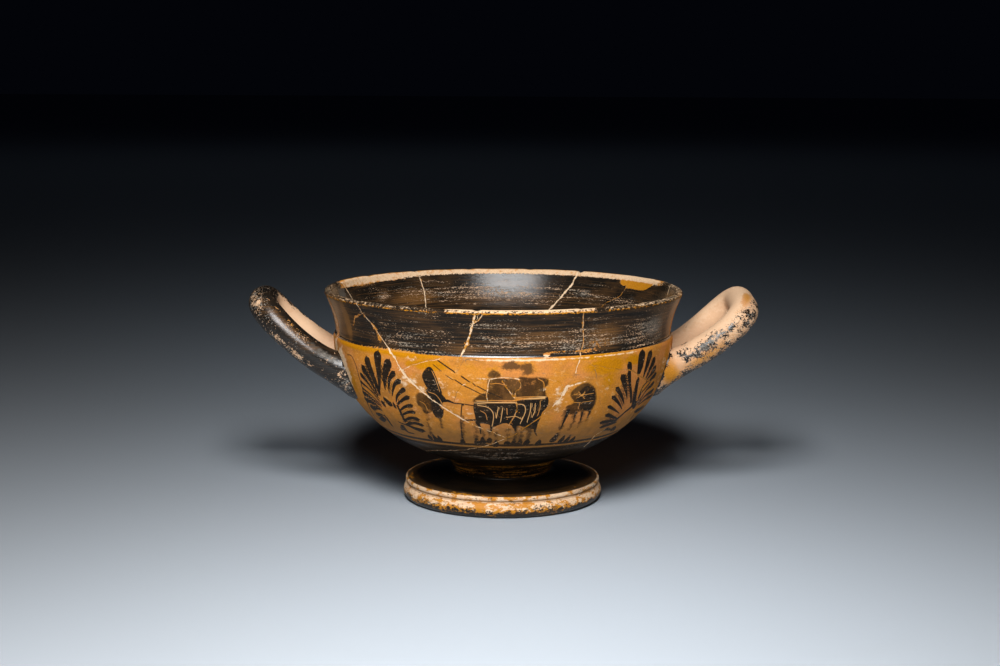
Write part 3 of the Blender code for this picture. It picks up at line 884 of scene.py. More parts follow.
# Wear outside, with painted reflections and highlights on the lip among it, as (azimuth, height, half width
# in degrees, half height, strength)
OUTSIDE = {
    "cream": [
        (-36, 59.5, 3.4, 3, 0.62), (-32.5, 60.5, 3, 2.4, 0.62), (-29, 56.5, 2, 2, 0.6),
        (-18, 55, 3.5, 4, 0.38), (-14, 48, 3, 4, 0.38), (15.6, 56.5, 1.6, 4.5, 0.55),
        (16.5, 52, 3, 4, 0.45), (4, 40, 8, 2.4, 0.4), (-8, 41, 6, 2, 0.4), (33, 57, 2.5, 5, 0.35),
        (-22, 60, 4, 3, 0.45), (66, 60, 4, 8, 0.5), (73, 63, 3.5, 7, 0.7), (-71, 61, 4.5, 7, 1.3),
        # The cream stripes at azimuths -77 and 76 near height 80, down the lip's two ends, are painted
        # highlights
        (-68.5, 58, 3.4, 6, 1.1), (-77, 67, 3, 5, 0.9), (-77, 80, 4, 11, 0.6), (76, 80, 3.4, 11, 0.5),
        (11.2, 71.2, 1.3, 0.7, 1), (6, 70, 24, 0.45, 0.9), (36, 70, 14, 0.45, 0.7), (-30, 44, 5, 4, 0.3),
        (10.2, 58.2, 1.3, 1, 0.9), (-9.5, 46.6, 0.7, 0.6, 1), (-31.8, 69, 3.4, 1.2, 0.5),
    ],
    "ochre": [
        (-26, 67, 8, 2.6, 0.95), (-34, 70.4, 14, 1.6, 1.1), (-58, 70.6, 18, 1.8, 1.1),
        (-33, 67, 3, 1.6, 0.8), (-8, 67, 12, 2, 0.5), (32, 66, 9, 4, 0.95), (30, 70, 16, 1.2, 0.9),
        (44, 67, 6, 2.5, 0.9), (34, 60, 4, 5, 0.7), (-52, 69.6, 10, 1.2, 0.7), (68, 62, 4, 8, 1),
        (-75, 63, 2.5, 7, 0.9), (-65, 55, 2.5, 7, 0.8), (-20, 60, 5, 5, 0.3), (34, 52, 3, 5, 0.45),
    ],
    "bare": [
        (-45.4, 75.6, 1.4, 2.6, 0.7), (15, 72.6, 6, 0.7, 0.6), (24, 72.4, 7, 0.9, 0.65),
        (29, 75, 7, 3, 0.42), (-13.6, 76, 0.9, 1.6, 0.7), (24.5, 84, 1.2, 2, 0.4),
        (11.2, 71.6, 1.3, 0.7, 1), (-40, 70.7, 18, 1.2, 0.8), (-62, 70.2, 16, 1, 0.7),
        # The bare stripes at azimuths -77 and 76 near height 80, down the lip's two ends, are painted
        # highlights
        (-20, 70.4, 8, 0.7, 0.6), (34, 70.5, 12, 0.8, 0.55), (-77, 79, 4, 11, 0.9), (76, 80, 4, 11, 0.8),
    ],
    "thin": [
        (-67, 80, 9, 11, 0.5), (-63, 80, 2.6, 9, 0.95), (75, 80, 10, 10, 1.1), (61, 82, 4, 6, 0.4),
        (10, 78, 16, 5, 0.3), (-15, 74, 8, 3, 0.3), (31, 78, 8, 6, 0.5),
    ],
    # The grey patches on the lip are a painted reflection of the floor in the gloss
    "haze": [
        (55, 79, 7, 5, 0.9), (0, 76, 14, 4, 0.3), (20, 75, 9, 3, 0.4), (-38, 75, 10, 5, 0.3),
        (36, 78, 9, 4, 0.35),
    ],
    "flecks": [
        (-36, 77, 14, 7, 0.6), (-24, 76, 8, 6, 0.5), (2, 77, 14, 5.5, 0.65), (22, 76, 16, 6, 0.7),
        (50, 77, 14, 7, 0.75), (-5, 83, 12, 3, 0.4), (0, 27, 36, 3.2, 0.9),
    ],
    "tired": [(2, 60, 14, 5, 0.8), (-29, 50, 3, 6, 0.8), (25, 52, 6, 7, 0.6), (8, 37, 28, 4, 0.7)],
}
INSIDE = {
    "thin": [(-146, 78, 13, 4.5, 0.6), (-132, 80, 6, 4, 0.4), (180, 76, 40, 4, 0.35)],
    "flecks": [
        (180, 78.6, 26, 5, 0.8), (162, 78, 20, 5, 0.7), (-158, 79.6, 24, 4, 0.7), (145, 79, 12, 4, 0.6),
        (125, 78, 12, 3, 0.6), (-126, 83, 5, 2, 0.8), (-132, 80.5, 4, 3, 0.8),
    ],
    # The grey inside the lip at the left, at azimuth -104, is a painted sheen
    "haze": [
        (-104, 84, 5, 4, 0.9), (-131, 80.5, 3, 2.6, 0.45), (146, 80, 4, 2.2, 0.7), (122, 80, 4, 1.4, 0.5),
    ],
}
# Wear on the handles, with a painted sheen and highlights among it, as (degrees around the section, place
# along the loop, half sizes of both, strength).
# Around is 0 outwards, 90 up and 180 inwards; along is -1 at the back root, 0 at the tip and 1 at the front
# root
LEFT_HANDLE = {
    "bare": [
        (180, 0, 60, 3, 1.5), (150, -0.6, 62, 0.42, 1.5), (90, 0.02, 60, 0.12, -1.2),
        (50, 0.37, 10, 0.2, 0.5), (0, 0.17, 24, 0.1, 0.36), (-38, 0.5, 22, 0.16, 0.36),
        (-39, 0.72, 8, 0.03, 0.6), (30, 0.8, 46, 0.02, 0.4), (-100, 0, 36, 2, 0.3),
        (-10, -0.4, 40, 0.3, 0.25),
    ],
    "cream": [
        (0, 0.17, 30, 0.14, 0.8), (30, 0.8, 50, 0.05, 0.8), (150, -0.5, 70, 0.6, 0.8),
        (-38, 0.5, 25, 0.2, 0.6),
    ],
    "ochre": [(50, 0.37, 16, 0.22, 0.9), (-39, 0.72, 12, 0.05, 0.8)],
    # The first thin patch, on the upper flank, is a painted pinkish-brown sheen round the highlight
    "thin": [(32, 0.4, 30, 0.3, 0.5), (10, 0.17, 36, 0.12, 0.35), (66, 0.4, 8, 0.5, -1)],
    # Its grey patches on the upper flank, 22 and 36 degrees round, are a painted highlight
    "haze": [(36, 0.66, 18, 0.14, 0.9), (0, 0.86, 60, 0.05, 0.6), (22, 0.35, 20, 0.25, 0.4)],
    "flecks": [
        (0, 0, 400, 2, 0.35), (40, 0.05, 70, 0.16, 0.8), (36, 0.42, 18, 0.3, 0.75),
        (20, -0.15, 80, 0.2, 0.9), (0, 0.17, 50, 0.14, 1), (-38, 0.45, 26, 0.26, 0.9),
        (10, 0.86, 90, 0.07, 1), (66, 0.4, 12, 0.5, -0.4),
    ],
}
RIGHT_HANDLE = {
    "bare": [
        (180, 0, 66, 3, 1.7), (84, -0.05, 66, 0.97, 1.25), (90, -0.06, 90, 0.24, 1.5),
        (10, -0.25, 70, 0.22, 1.1), (-22, 0.3, 42, 0.7, 0.52), (15, 0.78, 60, 0.12, 1.1),
        (14, 0.5, 11, 0.09, -0.9), (-14, 0.25, 13, 0.04, -0.5), (-100, 0, 36, 2, 0.45),
        (-10, -0.5, 50, 0.5, 0.5),
    ],
    "cream": [
        (84, 0, 90, 1.2, 0.9), (10, -0.3, 90, 0.35, 0.9), (-20, 0.3, 30, 0.3, 0.5),
        (45, 0.13, 20, 0.1, -0.8), (0, 0.78, 90, 0.07, -0.9),
    ],
    "ochre": [(45, 0.13, 22, 0.11, 0.9), (0, 0.78, 80, 0.07, 1.1), (-24, 0.54, 30, 0.2, 0.8)],
    # The first grey patch, on the band at the middle of the front arm, is a painted highlight
    "haze": [(16, 0.5, 14, 0.1, 0.7), (-30, 0.4, 30, 0.5, 0.5)],
    "flecks": [(0, 0, 400, 2, 0.9)],
}


def rim_turn(radius, z, within):
    """Where a vertex lies over the round edge of the rim, in degrees: 0 outside, 90 on top and 180 inside.
    Further down the walls it goes on past both ends by the depth over the edge's radius."""
    edge = LIP_WALL / 2
    up = z - RIM_LOW_Z
    over = np.degrees(np.arctan2(up, radius - (RIM_RADIUS - edge)))
    return np.where(up > 0, over, np.where(within, 180 - np.degrees(up / edge), np.degrees(up / edge)))


def between_turns(turn, low, high, soft):
    """1 from the low turn to the high one, with soft ends."""
    return smooth_step(low - soft, low + soft, turn) * (1 - smooth_step(high - soft, high + soft, turn))


# Wear of the rim, as (part of the rim, strength, first and last turn over its edge, softness of both ends)
RIM_WEAR = {
    "bare": [
        ("front", 0.80, 46, 172, 12),
        ("front", 0.55, -18, 60, 12),
        ("left", 0.41, 10, 130, 16),
        ("left", 0.42, 120, 172, 12),
        ("left", 0.70, -18, 2, 8),
        ("right", 0.45, -12, 172, 14),
    ],
    "cream": [
        ("front", 0.9, 14, 168, 14),
        ("left", 1.0, 20, 172, 14),
        ("right", 1.0, 20, 172, 14),
        ("back", 0.75, 100, 270, 14),
    ],
    "ochre": [
        ("front", 0.7, -60, 24, 14),
        ("left", 1.0, -40, 12, 10),
        ("right", 0.7, -30, 40, 12),
        ("back", 0.8, 40, 100, 12),
    ],
}


def add_rim(masks, azimuth, turn):
    """Adds the rim's wear to the masks: worn to cream and ochre at the front, specked at its left and right,
    a pale band inside the back that widens towards the left, and the filled gap."""
    parts = {
        "front": smooth_step(-23, -18, azimuth) * (1 - smooth_step(24, 29, azimuth)),
        "left": smooth_step(16, 24, -azimuth) * (1 - smooth_step(95, 115, -azimuth)),
        "right": smooth_step(24, 32, azimuth) * (1 - smooth_step(95, 115, azimuth)),
        "back": smooth_step(95, 115, abs(azimuth)),
    }
    for name, rows in RIM_WEAR.items():
        for part, strength, *turns in rows:
            masks[name] = np.maximum(masks[name], strength * parts[part] * between_turns(turn, *turns))
    wide = 40 + 52 * np.exp(-((angle_between(azimuth, -122) / 16) ** 2))
    across = abs(angle_between(azimuth, FILL_AZIMUTH)) / FILL_HALF_WIDTH
    fill = 1 - smooth_step(0.93, 1.07, across)
    low = 330 - 95 * np.minimum(across, 1.2) ** 4
    back_band = 0.95 * parts["back"] * between_turns(turn, 50, 180 + wide, 16)
    masks["bare"] = np.maximum.reduce([masks["bare"], back_band, fill * between_turns(turn, 60, low, 20)])
    masks["ochre"] = np.maximum(masks["ochre"], 1.1 * fill * between_turns(turn, 190, 330, 12))
    kept_cream = masks["cream"] * (1 - fill * smooth_step(190, 205, turn))
    masks["cream"] = np.maximum(kept_cream, fill * between_turns(turn, 60, 195, 12))


def handle_places(loop, points):
    """The vertices on a handle, and for each how far round its section and how far along the loop it lies."""
    path = loop_path(loop, HANDLE_FINE_STEP)
    up, outward = loop_frame(path)
    out = points[:, 0] * loop["side"]
    beside = (points[:, 2] < RIM_Z - 2) | (out > RIM_RADIUS + 5)
    near = np.nonzero((out > 50) & (wall_depth(points) > 0.3) & beside)[0]
    gap = np.linalg.norm(points[near][:, None] - path[None], axis=2)
    best = gap.argmin(1)
    kept = gap.min(1) < HANDLE_RADIUS + 2.5
    near, best = near[kept], best[kept]
    away = points[near] - path[best]
    around = np.degrees(np.arctan2((away * up[best]).sum(1), (away * outward[best]).sum(1)))
    along = (best / (len(path) - 1) * 2 - 1) * np.sign(path[0, 1] - path[-1, 1])
    return near, around, along


def set_field(mesh, name, values):
    """Keeps one number for each vertex under a name that the materials read."""
    layer = mesh.attributes.new(name, "FLOAT", "POINT")
    layer.data.foreach_set("value", np.asarray(values, np.float32))


def set_fields(body):
    """Works out every painted and worn field from the vertices' places."""
    mesh = body.data
    points = np.empty(len(mesh.vertices) * 3, np.float32)
    mesh.vertices.foreach_get("co", points)
    points = points.reshape(-1, 3).astype(float) / MM
    radius = np.hypot(points[:, 0], points[:, 1])
    azimuth = np.degrees(np.arctan2(points[:, 0], -points[:, 1]))
    z = points[:, 2]
    wall = Wall(azimuth, z)
    painted_side(wall, 0.0, 1)
    painted_side(wall, 180.0, -1)
    for outline in FADED:
        wall.shape("faded", outline)
    for k, (tone, places) in enumerate(BREAKS):
        route = shaky(even_route(places, BREAK_STEP), BREAK_JUMP, k)
        route[:, 2] *= BREAK_SHARE
        wall.line("break", route, tone)
    within = (radius < outer_radius(wall.height) - INSIDE_DEPTH) & (z > FLOOR_WALL + FOOT_TOP_Z)
    masks = {}
    for name, patches in OUTSIDE.items():
        inside = soft_patches(azimuth, z, INSIDE.get(name, []))
        masks[name] = np.where(within, inside, soft_patches(azimuth, z, patches))
    add_rim(masks, azimuth, rim_turn(radius, z, within))
    for loop, patches in ((LEFT_LOOP, LEFT_HANDLE), (RIGHT_LOOP, RIGHT_HANDLE)):
        who, around, along = handle_places(loop, points)
        for name in masks:
            masks[name][who] = soft_patches(around, along, patches.get(name, []))
    for name, values in {**wall.fields, **masks}.items():
        set_field(mesh, name, values)


cup = vessel()
set_fields(cup)
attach(cup, "root")
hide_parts("skyphos")


# Finishes


class Nodes:
    """Adds nodes to one tree and joins them up. A value is a number, a colour or another node's output."""

    def __init__(self, tree, place=None):
        self.tree = tree
        self.place = place

    def add(self, kind, values=None, output=0, **settings):
        node = self.tree.nodes.new(kind)
        for name, value in settings.items():
            setattr(node, name, value)
        for key, value in (values or {}).items():
            self.put(node.inputs[key], value)
        return node.outputs[output]

    def put(self, socket, value):
        if isinstance(value, bpy.types.NodeSocket):
            self.tree.links.new(value, socket)
        else:
            socket.default_value = value

    def maths(self, operation, first, *others):
        """The operation on the first value and each of the others in turn."""
        for other in others:
            first = self.add("ShaderNodeMath", {0: first, 1: other}, operation=operation)
        return first

    def times(self, *values):
        return self.maths("MULTIPLY", *values)

    def plus(self, *values):
        return self.maths("ADD", *values)

    def less(self, value, taken):
        return self.maths("SUBTRACT", value, taken)

    def most(self, *values):
        return self.maths("MAXIMUM", *values)

    def rest(self, value):
        """What is left of 1."""
        return self.less(1.0, value)

    def size(self, value):
        """The value without its sign."""
        return self.add("ShaderNodeMath", {0: value}, operation="ABSOLUTE")

    def swing(self, noise):
        """A noise moved down to swing about 0."""
        return self.plus(noise, -0.5)

    def ramp(self, value, low, high, to_low=0.0, to_high=1.0, kind="LINEAR"):
        """A ramp from one value at low to another at high, held at both ends."""
        values = {"Value": value, "From Min": low, "From Max": high, "To Min": to_low, "To Max": to_high}
        return self.add("ShaderNodeMapRange", values, interpolation_type=kind)

    def step(self, value, low, high, to_low=0.0, to_high=1.0):
        """The same ramp as a smooth step."""
        return self.ramp(value, low, high, to_low, to_high, "SMOOTHSTEP")

    def fall(self, value, low, high):
        """A smooth step from 1 at low down to 0 at high."""
        return self.step(value, low, high, 1.0, 0.0)

    def between(self, share, first, last):
        """A number that is first where the share is 0 and last where it is 1."""
        return self.ramp(share, 0.0, 1.0, first, last)

    def blend(self, share, a, b):
        return self.add("ShaderNodeMix", {0: share, 6: a, 7: b}, output=2, data_type="RGBA")

    def tint(self, colour, amount):
        """The colour with its brightness multiplied."""
        values = {"Hue": 0.5, "Saturation": 1.0, "Value": amount, "Color": colour}
        return self.add("ShaderNodeHueSaturation", values)

    def noise(self, across, up, detail=3.0, roughness=0.5, shift=0.0):
        """Cloud noise in cells for each millimetre, level and upright, moved to a place of its own by the
        shift."""
        cells = (across, across, up)
        place = self.add("ShaderNodeVectorMath", {0: self.place, 1: cells}, operation="MULTIPLY")
        if shift:
            moved = (shift, shift * 0.7, -shift)
            place = self.add("ShaderNodeVectorMath", {0: place, 1: moved}, operation="ADD")
        values = {"Vector": place, "Scale": 1.0, "Detail": detail, "Roughness": roughness}
        return self.add("ShaderNodeTexNoise", values)

    def rough_edge(self, mask, noise, amount, low, high):
        """A mask with a broken edge: a step of the mask and the noise's swing together."""
        return self.step(self.plus(mask, self.times(self.swing(noise), amount)), low, high)

    def specks(self, chance, amount, none, most, soft):
        """Specks where the chance passes a limit, which falls from none to most as the amount grows to 1."""
        return self.step(self.less(chance, self.between(amount, none, most)), 0.0, soft)

    def field(self, name):
        return self.add("ShaderNodeAttribute", output=2, attribute_name=name)

    def thin_line(self, name, soft):
        """A line drawn by its near, side and half fields, 1 on the line."""
        half = self.field(name + "_half")
        over = self.less(self.size(self.field(name + "_side")), half)
        near = self.less(self.field(name + "_near"), half)
        return self.times(self.fall(over, -soft, soft), self.fall(near, 0.3, 0.5))


CLAY = (0.59, 0.225, 0.028, 1)
CLAY_ROSE = (0.66, 0.24, 0.075, 1)
CLAY_DARK = (0.36, 0.145, 0.032, 1)
# Painted shade: darker clay for the lower part of the band and for the foot's groove
SHADED_CLAY = (0.27, 0.125, 0.035, 1)
CLAY_PALE = (0.80, 0.45, 0.18, 1)
OCHRE = (0.52, 0.20, 0.0, 1)
CREAM = (0.84, 0.60, 0.38, 1)
BARE_CLAY = (0.72, 0.46, 0.28, 1)
GLOSS_BLACK = (0.0125, 0.0100, 0.0075, 1)
GLOSS_BROWN = (0.080, 0.040, 0.016, 1)
# Thinly laid gloss, also used as a painted sheen
GLOSS_THIN_AND_SHEEN = (0.21, 0.096, 0.028, 1)
PAINT_BROWN = (0.060, 0.032, 0.014, 1)
WASH_THIN = (0.095, 0.045, 0.014, 1)
WASH_DARK = (0.030, 0.016, 0.007, 1)
# Grey for dust and for a painted sheen on the gloss, and for the grey specks on the handles
GREY_DUST_AND_SHEEN = (0.24, 0.22, 0.19, 1)
PALE_DUST = (0.44, 0.35, 0.26, 1)
GREY_FILL = (0.14, 0.115, 0.085, 1)


def clay_body(nodes, given):
    """Fired clay: an orange ground with soft dark and pale clouds, ochre and cream where the fields say, and
    a fine grain with brown specks."""
    clouds = nodes.noise(0.06, 0.09, 4.0, 0.6)
    mottle = nodes.noise(0.45, 0.7, 4.0, 0.65)
    streaks = nodes.noise(0.09, 1.3, 3.0, 0.6)
    grain = nodes.noise(1.6, 1.6, 3.0, 0.7, shift=4.0)
    colour = nodes.blend(nodes.step(clouds, 0.46, 0.70, 0.0, 0.8), CLAY, CLAY_DARK)
    colour = nodes.blend(nodes.step(mottle, 0.52, 0.74, 0.0, 0.5), colour, CLAY_PALE)
    colour = nodes.blend(nodes.step(streaks, 0.56, 0.74, 0.0, 0.35), colour, CLAY_DARK)
    rose = nodes.noise(0.05, 0.07, 3.0, 0.55, shift=21.0)
    colour = nodes.blend(nodes.step(rose, 0.50, 0.62, 0.0, 0.5), colour, CLAY_ROSE)
    ochre = nodes.rough_edge(nodes.field("ochre"), mottle, 1.1, 0.3, 0.75)
    colour = nodes.blend(nodes.times(ochre, 0.9), colour, OCHRE)
    cream = nodes.rough_edge(nodes.field("cream"), mottle, 1.6, 0.35, 0.75)
    colour = nodes.blend(nodes.times(cream, 0.85), colour, CREAM)
    specks = nodes.step(nodes.noise(1.4, 2.2, 2.0, 0.5, shift=7.3), 0.66, 0.74, 0.0, 0.5)
    colour = nodes.blend(specks, colour, PAINT_BROWN)
    colour = nodes.tint(colour, nodes.ramp(grain, 0.3, 0.7, 0.82, 1.16))
    return colour, nodes.times(mottle, 0.06)


def black_gloss(nodes, given):
    """The black slip: dark brown brush lines, thinner brown where it was laid thinly and as a painted sheen,
    grey that is partly a dusty film and partly a painted sheen and reflection, and pale flecks in level rows
    where it has come off. Cover is 1 where gloss is left and falls to 0 on bare clay."""
    lines = nodes.noise(0.045, 2.2, 5.0, 0.7)
    clouds = nodes.noise(0.07, 0.16, 3.0, 0.55)
    brown = nodes.times(nodes.step(lines, 0.46, 0.70), given["Streaks"], 0.8)
    brown = nodes.plus(brown, nodes.times(nodes.step(clouds, 0.46, 0.72), given["Streaks"], 0.5))
    colour = nodes.blend(nodes.maths("MINIMUM", brown, 1.0), GLOSS_BLACK, GLOSS_BROWN)
    colour = nodes.blend(nodes.rough_edge(given["Thin"], lines, 1.2, 0.15, 0.95), colour, GLOSS_THIN_AND_SHEEN)
    # Grey over the gloss: partly dust, partly a painted sheen and reflection where the light catches it
    dust_and_sheen_mask = nodes.rough_edge(given["Haze"], nodes.noise(0.35, 0.8, 4.0, 0.65, shift=3.1), 1.5, 0.3, 1.0)
    colour = nodes.blend(nodes.times(dust_and_sheen_mask, 0.45), colour, GREY_DUST_AND_SHEEN)
    cells = nodes.noise(1.1, 3.0, 3.0, 0.7, shift=11.0)
    rows = nodes.swing(nodes.noise(0.05, 1.1, 2.0, 0.5, shift=5.0))
    fleck = nodes.specks(nodes.plus(cells, nodes.times(rows, 0.55)), given["Flecks"], 0.73, 0.51, 0.06)
    kind = nodes.step(nodes.plus(nodes.noise(0.12, 0.3, 2.0, 0.5, shift=2.0), given["Warm"]), 0.46, 0.58)
    colour = nodes.blend(nodes.times(fleck, 0.8), colour, nodes.blend(kind, PALE_DUST, BARE_CLAY))
    bare = nodes.rough_edge(given["Bare"], nodes.noise(0.9, 1.5, 4.0, 0.75, shift=1.0), 1.5, 0.47, 0.54)
    cover = nodes.rest(bare)
    dull = nodes.most(fleck, nodes.times(dust_and_sheen_mask, 0.6))
    height = nodes.plus(nodes.times(cover, 0.04), nodes.times(fleck, -0.03), nodes.times(lines, 0.04))
    return colour, cover, dull, height


def old_breaks(nodes, given):
    """Glued joins: a filled line along each break, grey, ochre or cream by its tone and patchier the greyer
    it is, with flaked edges beside the pale ones here and there."""
    wobble = nodes.swing(nodes.noise(0.9, 0.9, 3.0, 0.6))
    side = nodes.size(nodes.plus(nodes.field("break_side"), nodes.times(wobble, 0.5)))
    uneven = nodes.ramp(nodes.noise(0.5, 0.5, 3.0, 0.6, shift=9.0), 0.35, 0.65, 0.35, 1.6)
    over = nodes.less(side, nodes.times(nodes.field("break_half"), uneven))
    near = nodes.field("break_near")
    tone = nodes.field("break_tone")
    patchy = nodes.noise(0.28, 0.28, 3.0, 0.6, shift=4.0)
    kept = nodes.step(nodes.plus(patchy, nodes.times(tone, 0.35)), 0.50, 0.68, 0.25, 1.0)
    line = nodes.times(nodes.fall(over, -0.1, 0.07), nodes.fall(near, 0.9, 1.2), kept)
    colour = nodes.blend(nodes.step(tone, 0.1, 0.5), GREY_FILL, OCHRE)
    creamy = nodes.rough_edge(tone, nodes.noise(0.8, 0.8, 4.0, 0.7, shift=6.0), 2.2, 0.5, 0.8)
    colour = nodes.blend(creamy, colour, CREAM)
    flaking = nodes.times(nodes.step(patchy, 0.5, 0.75), given["Flaking"], nodes.step(tone, 0.4, 0.9))
    flake = nodes.fall(nodes.plus(nodes.less(near, flaking), nodes.times(wobble, 0.8)), 0.1, 0.35)
    return line, colour, flake, nodes.times(line, -0.1)


def add_group(build, inputs, outputs):
    """A node group with named sockets, called as the function that builds it. build gets the nodes and the
    inputs, and gives the outputs in order. Places are vectors, colours are colours, and all else is a
    number."""
    kinds = {"Place": "NodeSocketVector", "Colour": "NodeSocketColor"}
    tree = bpy.data.node_groups.new(build.__name__.replace("_", " "), "ShaderNodeTree")
    for side, labels in (("INPUT", ["Place", *inputs]), ("OUTPUT", outputs)):
        for label in labels:
            tree.interface.new_socket(label, in_out=side, socket_type=kinds.get(label, "NodeSocketFloat"))
    entry = tree.nodes.new("NodeGroupInput")
    leave = tree.nodes.new("NodeGroupOutput")
    nodes = Nodes(tree, entry.outputs["Place"])
    for label, value in zip(outputs, build(nodes, entry.outputs)):
        nodes.put(leave.inputs[label], value)


GLOSS_INPUTS = ["Flecks", "Streaks", "Thin", "Haze", "Bare", "Warm"]
add_group(clay_body, [], ["Colour", "Height"])
add_group(black_gloss, GLOSS_INPUTS, ["Colour", "Cover", "Dull", "Height"])
add_group(old_breaks, ["Flaking"], ["Line", "Colour", "Flake", "Height"])


class Finish(Nodes):
    """The nodes of one of the vessel's materials, with the clay that every finish lies on."""

    def __init__(self, name, specular=0.4):
        material = bpy.data.materials[name]
        material.use_nodes = True
        super().__init__(material.node_tree)
        self.shader = self.tree.nodes["Principled BSDF"]
        self.shader.inputs["Specular IOR Level"].default_value = specular
        place = self.add("ShaderNodeTexCoord", output=3)
        self.place = self.add("ShaderNodeVectorMath", {0: place, "Scale": 1 / MM}, operation="SCALE")
        self.clay = self.use("clay body")

    def height(self):
        return self.add("ShaderNodeSeparateXYZ", {0: self.place}, output=2)

    def use(self, group, **values):
        """All outputs of a group placed once with these values."""
        node = self.tree.nodes.new("ShaderNodeGroup")
        node.node_tree = bpy.data.node_groups[group]
        for name, value in {"place": self.place, **values}.items():
            self.put(node.inputs[name.capitalize()], value)
        return node.outputs

    def paint(self, colour, roughness, height):
        """Sets the shader: colour, roughness, and a bump of a height in millimetres."""
        bump = self.add("ShaderNodeBump", {"Height": height, "Strength": 1.0, "Distance": MM})
        for name, value in (("Base Color", colour), ("Roughness", roughness), ("Normal", bump)):
            self.put(self.shader.inputs[name], value)


GLOSS_ROUGHNESS = 0.30
DULL_ROUGHNESS = 0.62
CLAY_ROUGHNESS = 0.68
BREAK_ROUGHNESS = 0.75


def glossed_finish(name, flecks, streaks, thin, flaking, specular, shine=GLOSS_ROUGHNESS, warm=0.0):
    """Black gloss over clay with old breaks through it. The flecks and the thinly laid gloss, which also
    carries a painted sheen, are added to their fields. shine is the roughness of whole gloss, and warm turns
    its flecks from grey to the colour of clay."""
    nodes = Finish(name, specular)
    gloss = nodes.use(
        "black gloss",
        flecks=nodes.plus(nodes.field("flecks"), flecks),
        streaks=streaks,
        thin=nodes.plus(nodes.field("thin"), thin),
        haze=nodes.field("haze"),
        bare=nodes.field("bare"),
        warm=warm,
    )
    breaks = nodes.use("old breaks", flaking=flaking)
    cover = nodes.times(gloss["Cover"], nodes.rest(breaks["Flake"]))
    colour = nodes.blend(cover, nodes.clay["Colour"], gloss["Colour"])
    colour = nodes.blend(breaks["Line"], colour, breaks["Colour"])
    rough = nodes.between(gloss["Dull"], shine, DULL_ROUGHNESS)
    rough = nodes.plus(nodes.times(rough, cover), nodes.times(nodes.rest(cover), CLAY_ROUGHNESS))
    rough = nodes.most(rough, nodes.times(breaks["Line"], BREAK_ROUGHNESS))
    nodes.paint(colour, rough, nodes.plus(nodes.clay["Height"], gloss["Height"], breaks["Height"]))


def band_finish():
    """The reserved band: clay, dark paint and brown wash from the fields, lines incised through them, the
    ground line, the reserved line under it and the black below. Towards the bottom of the band the clay is
    darkened in vertical streaks as painted shade, where the bowl curves under."""
    nodes = Finish("painted band", 0.05)
    gloss = nodes.use("black gloss", flecks=0.3, streaks=0.55)
    breaks = nodes.use("old breaks", flaking=0.8)
    up = nodes.height()
    tired = nodes.field("tired")
    edge = nodes.swing(nodes.noise(1.3, 1.3, 3.0, 0.65))
    wear = nodes.noise(0.5, 0.5, 5.0, 0.75, shift=6.0)
    fine = nodes.noise(1.5, 1.5, 3.0, 0.7, shift=8.0)
    worn = nodes.step(nodes.plus(wear, nodes.times(tired, 0.10)), 0.63, 0.71, 0.0, 0.9)
    kept = nodes.times(nodes.rest(worn), nodes.rest(nodes.times(nodes.step(fine, 0.56, 0.68), tired, 0.6)))
    paint = nodes.fall(nodes.plus(nodes.field("paint"), nodes.times(edge, 0.35)), -0.14, 0.14)
    paint = nodes.most(paint, nodes.thin_line("drawn", 0.14))
    wash = nodes.fall(nodes.plus(nodes.field("wash"), nodes.times(edge, 1.2)), -0.5, 0.4)
    faded = nodes.plus(nodes.field("faded"), nodes.times(nodes.swing(wear), 6.0))
    faded = nodes.step(faded, -0.8, 0.8, 0.85, 0.0)
    incised = nodes.thin_line("incised", 0.1)
    waves = nodes.swing(nodes.noise(0.05, 0.05, 3.0, 0.5))
    level = nodes.plus(up, nodes.times(waves, 0.9), nodes.times(edge, 0.3))
    below = nodes.fall(level, BLACK_TOP_Z - 0.15, BLACK_TOP_Z + 0.15)
    ground = nodes.fall(nodes.size(nodes.plus(level, -GROUND_Z)), GROUND_HALF - 0.15, GROUND_HALF + 0.15)
    shown = nodes.times(nodes.rest(incised), nodes.rest(breaks["Flake"]))
    dark = nodes.times(nodes.most(nodes.times(paint, kept), below, nodes.times(ground, kept)), shown)
    wash = nodes.times(wash, nodes.between(kept, 0.6, 1.0), shown, 0.93)
    thinner = nodes.noise(0.13, 0.10, 3.0, 0.55, shift=12.0)
    thinner = nodes.step(nodes.plus(thinner, nodes.times(nodes.swing(wear), 0.5)), 0.48, 0.62)
    # Painted shade: the clay darkens in vertical streaks towards the bottom of the band, where the bowl
    # curves under
    low = nodes.times(nodes.swing(nodes.noise(0.4, 0.06, 4.0, 0.6)), 0.7)
    low = nodes.step(nodes.plus(nodes.step(up, 36.0, 52.0, 0.62, 0.0), low), 0.1, 0.8)
    colour = nodes.blend(nodes.times(low, nodes.fall(up, 46.0, 56.0)), nodes.clay["Colour"], SHADED_CLAY)
    colour = nodes.blend(faded, colour, PAINT_BROWN)
    colour = nodes.blend(wash, colour, nodes.blend(thinner, WASH_DARK, WASH_THIN))
    slip = nodes.blend(nodes.times(nodes.step(wear, 0.44, 0.64), tired, 0.6), gloss["Colour"], PAINT_BROWN)
    colour = nodes.blend(dark, colour, slip)
    bright = nodes.between(nodes.field("incised_tone"), 0.2, 0.9)
    colour = nodes.blend(nodes.times(incised, nodes.most(paint, wash), bright), colour, CLAY_PALE)
    colour = nodes.blend(breaks["Line"], colour, breaks["Colour"])
    rough = nodes.most(nodes.between(dark, 0.55, 0.40), nodes.times(breaks["Line"], BREAK_ROUGHNESS))
    height = nodes.plus(nodes.clay["Height"], nodes.times(dark, 0.03), breaks["Height"])
    nodes.paint(colour, rough, nodes.plus(height, nodes.times(incised, -0.04)))


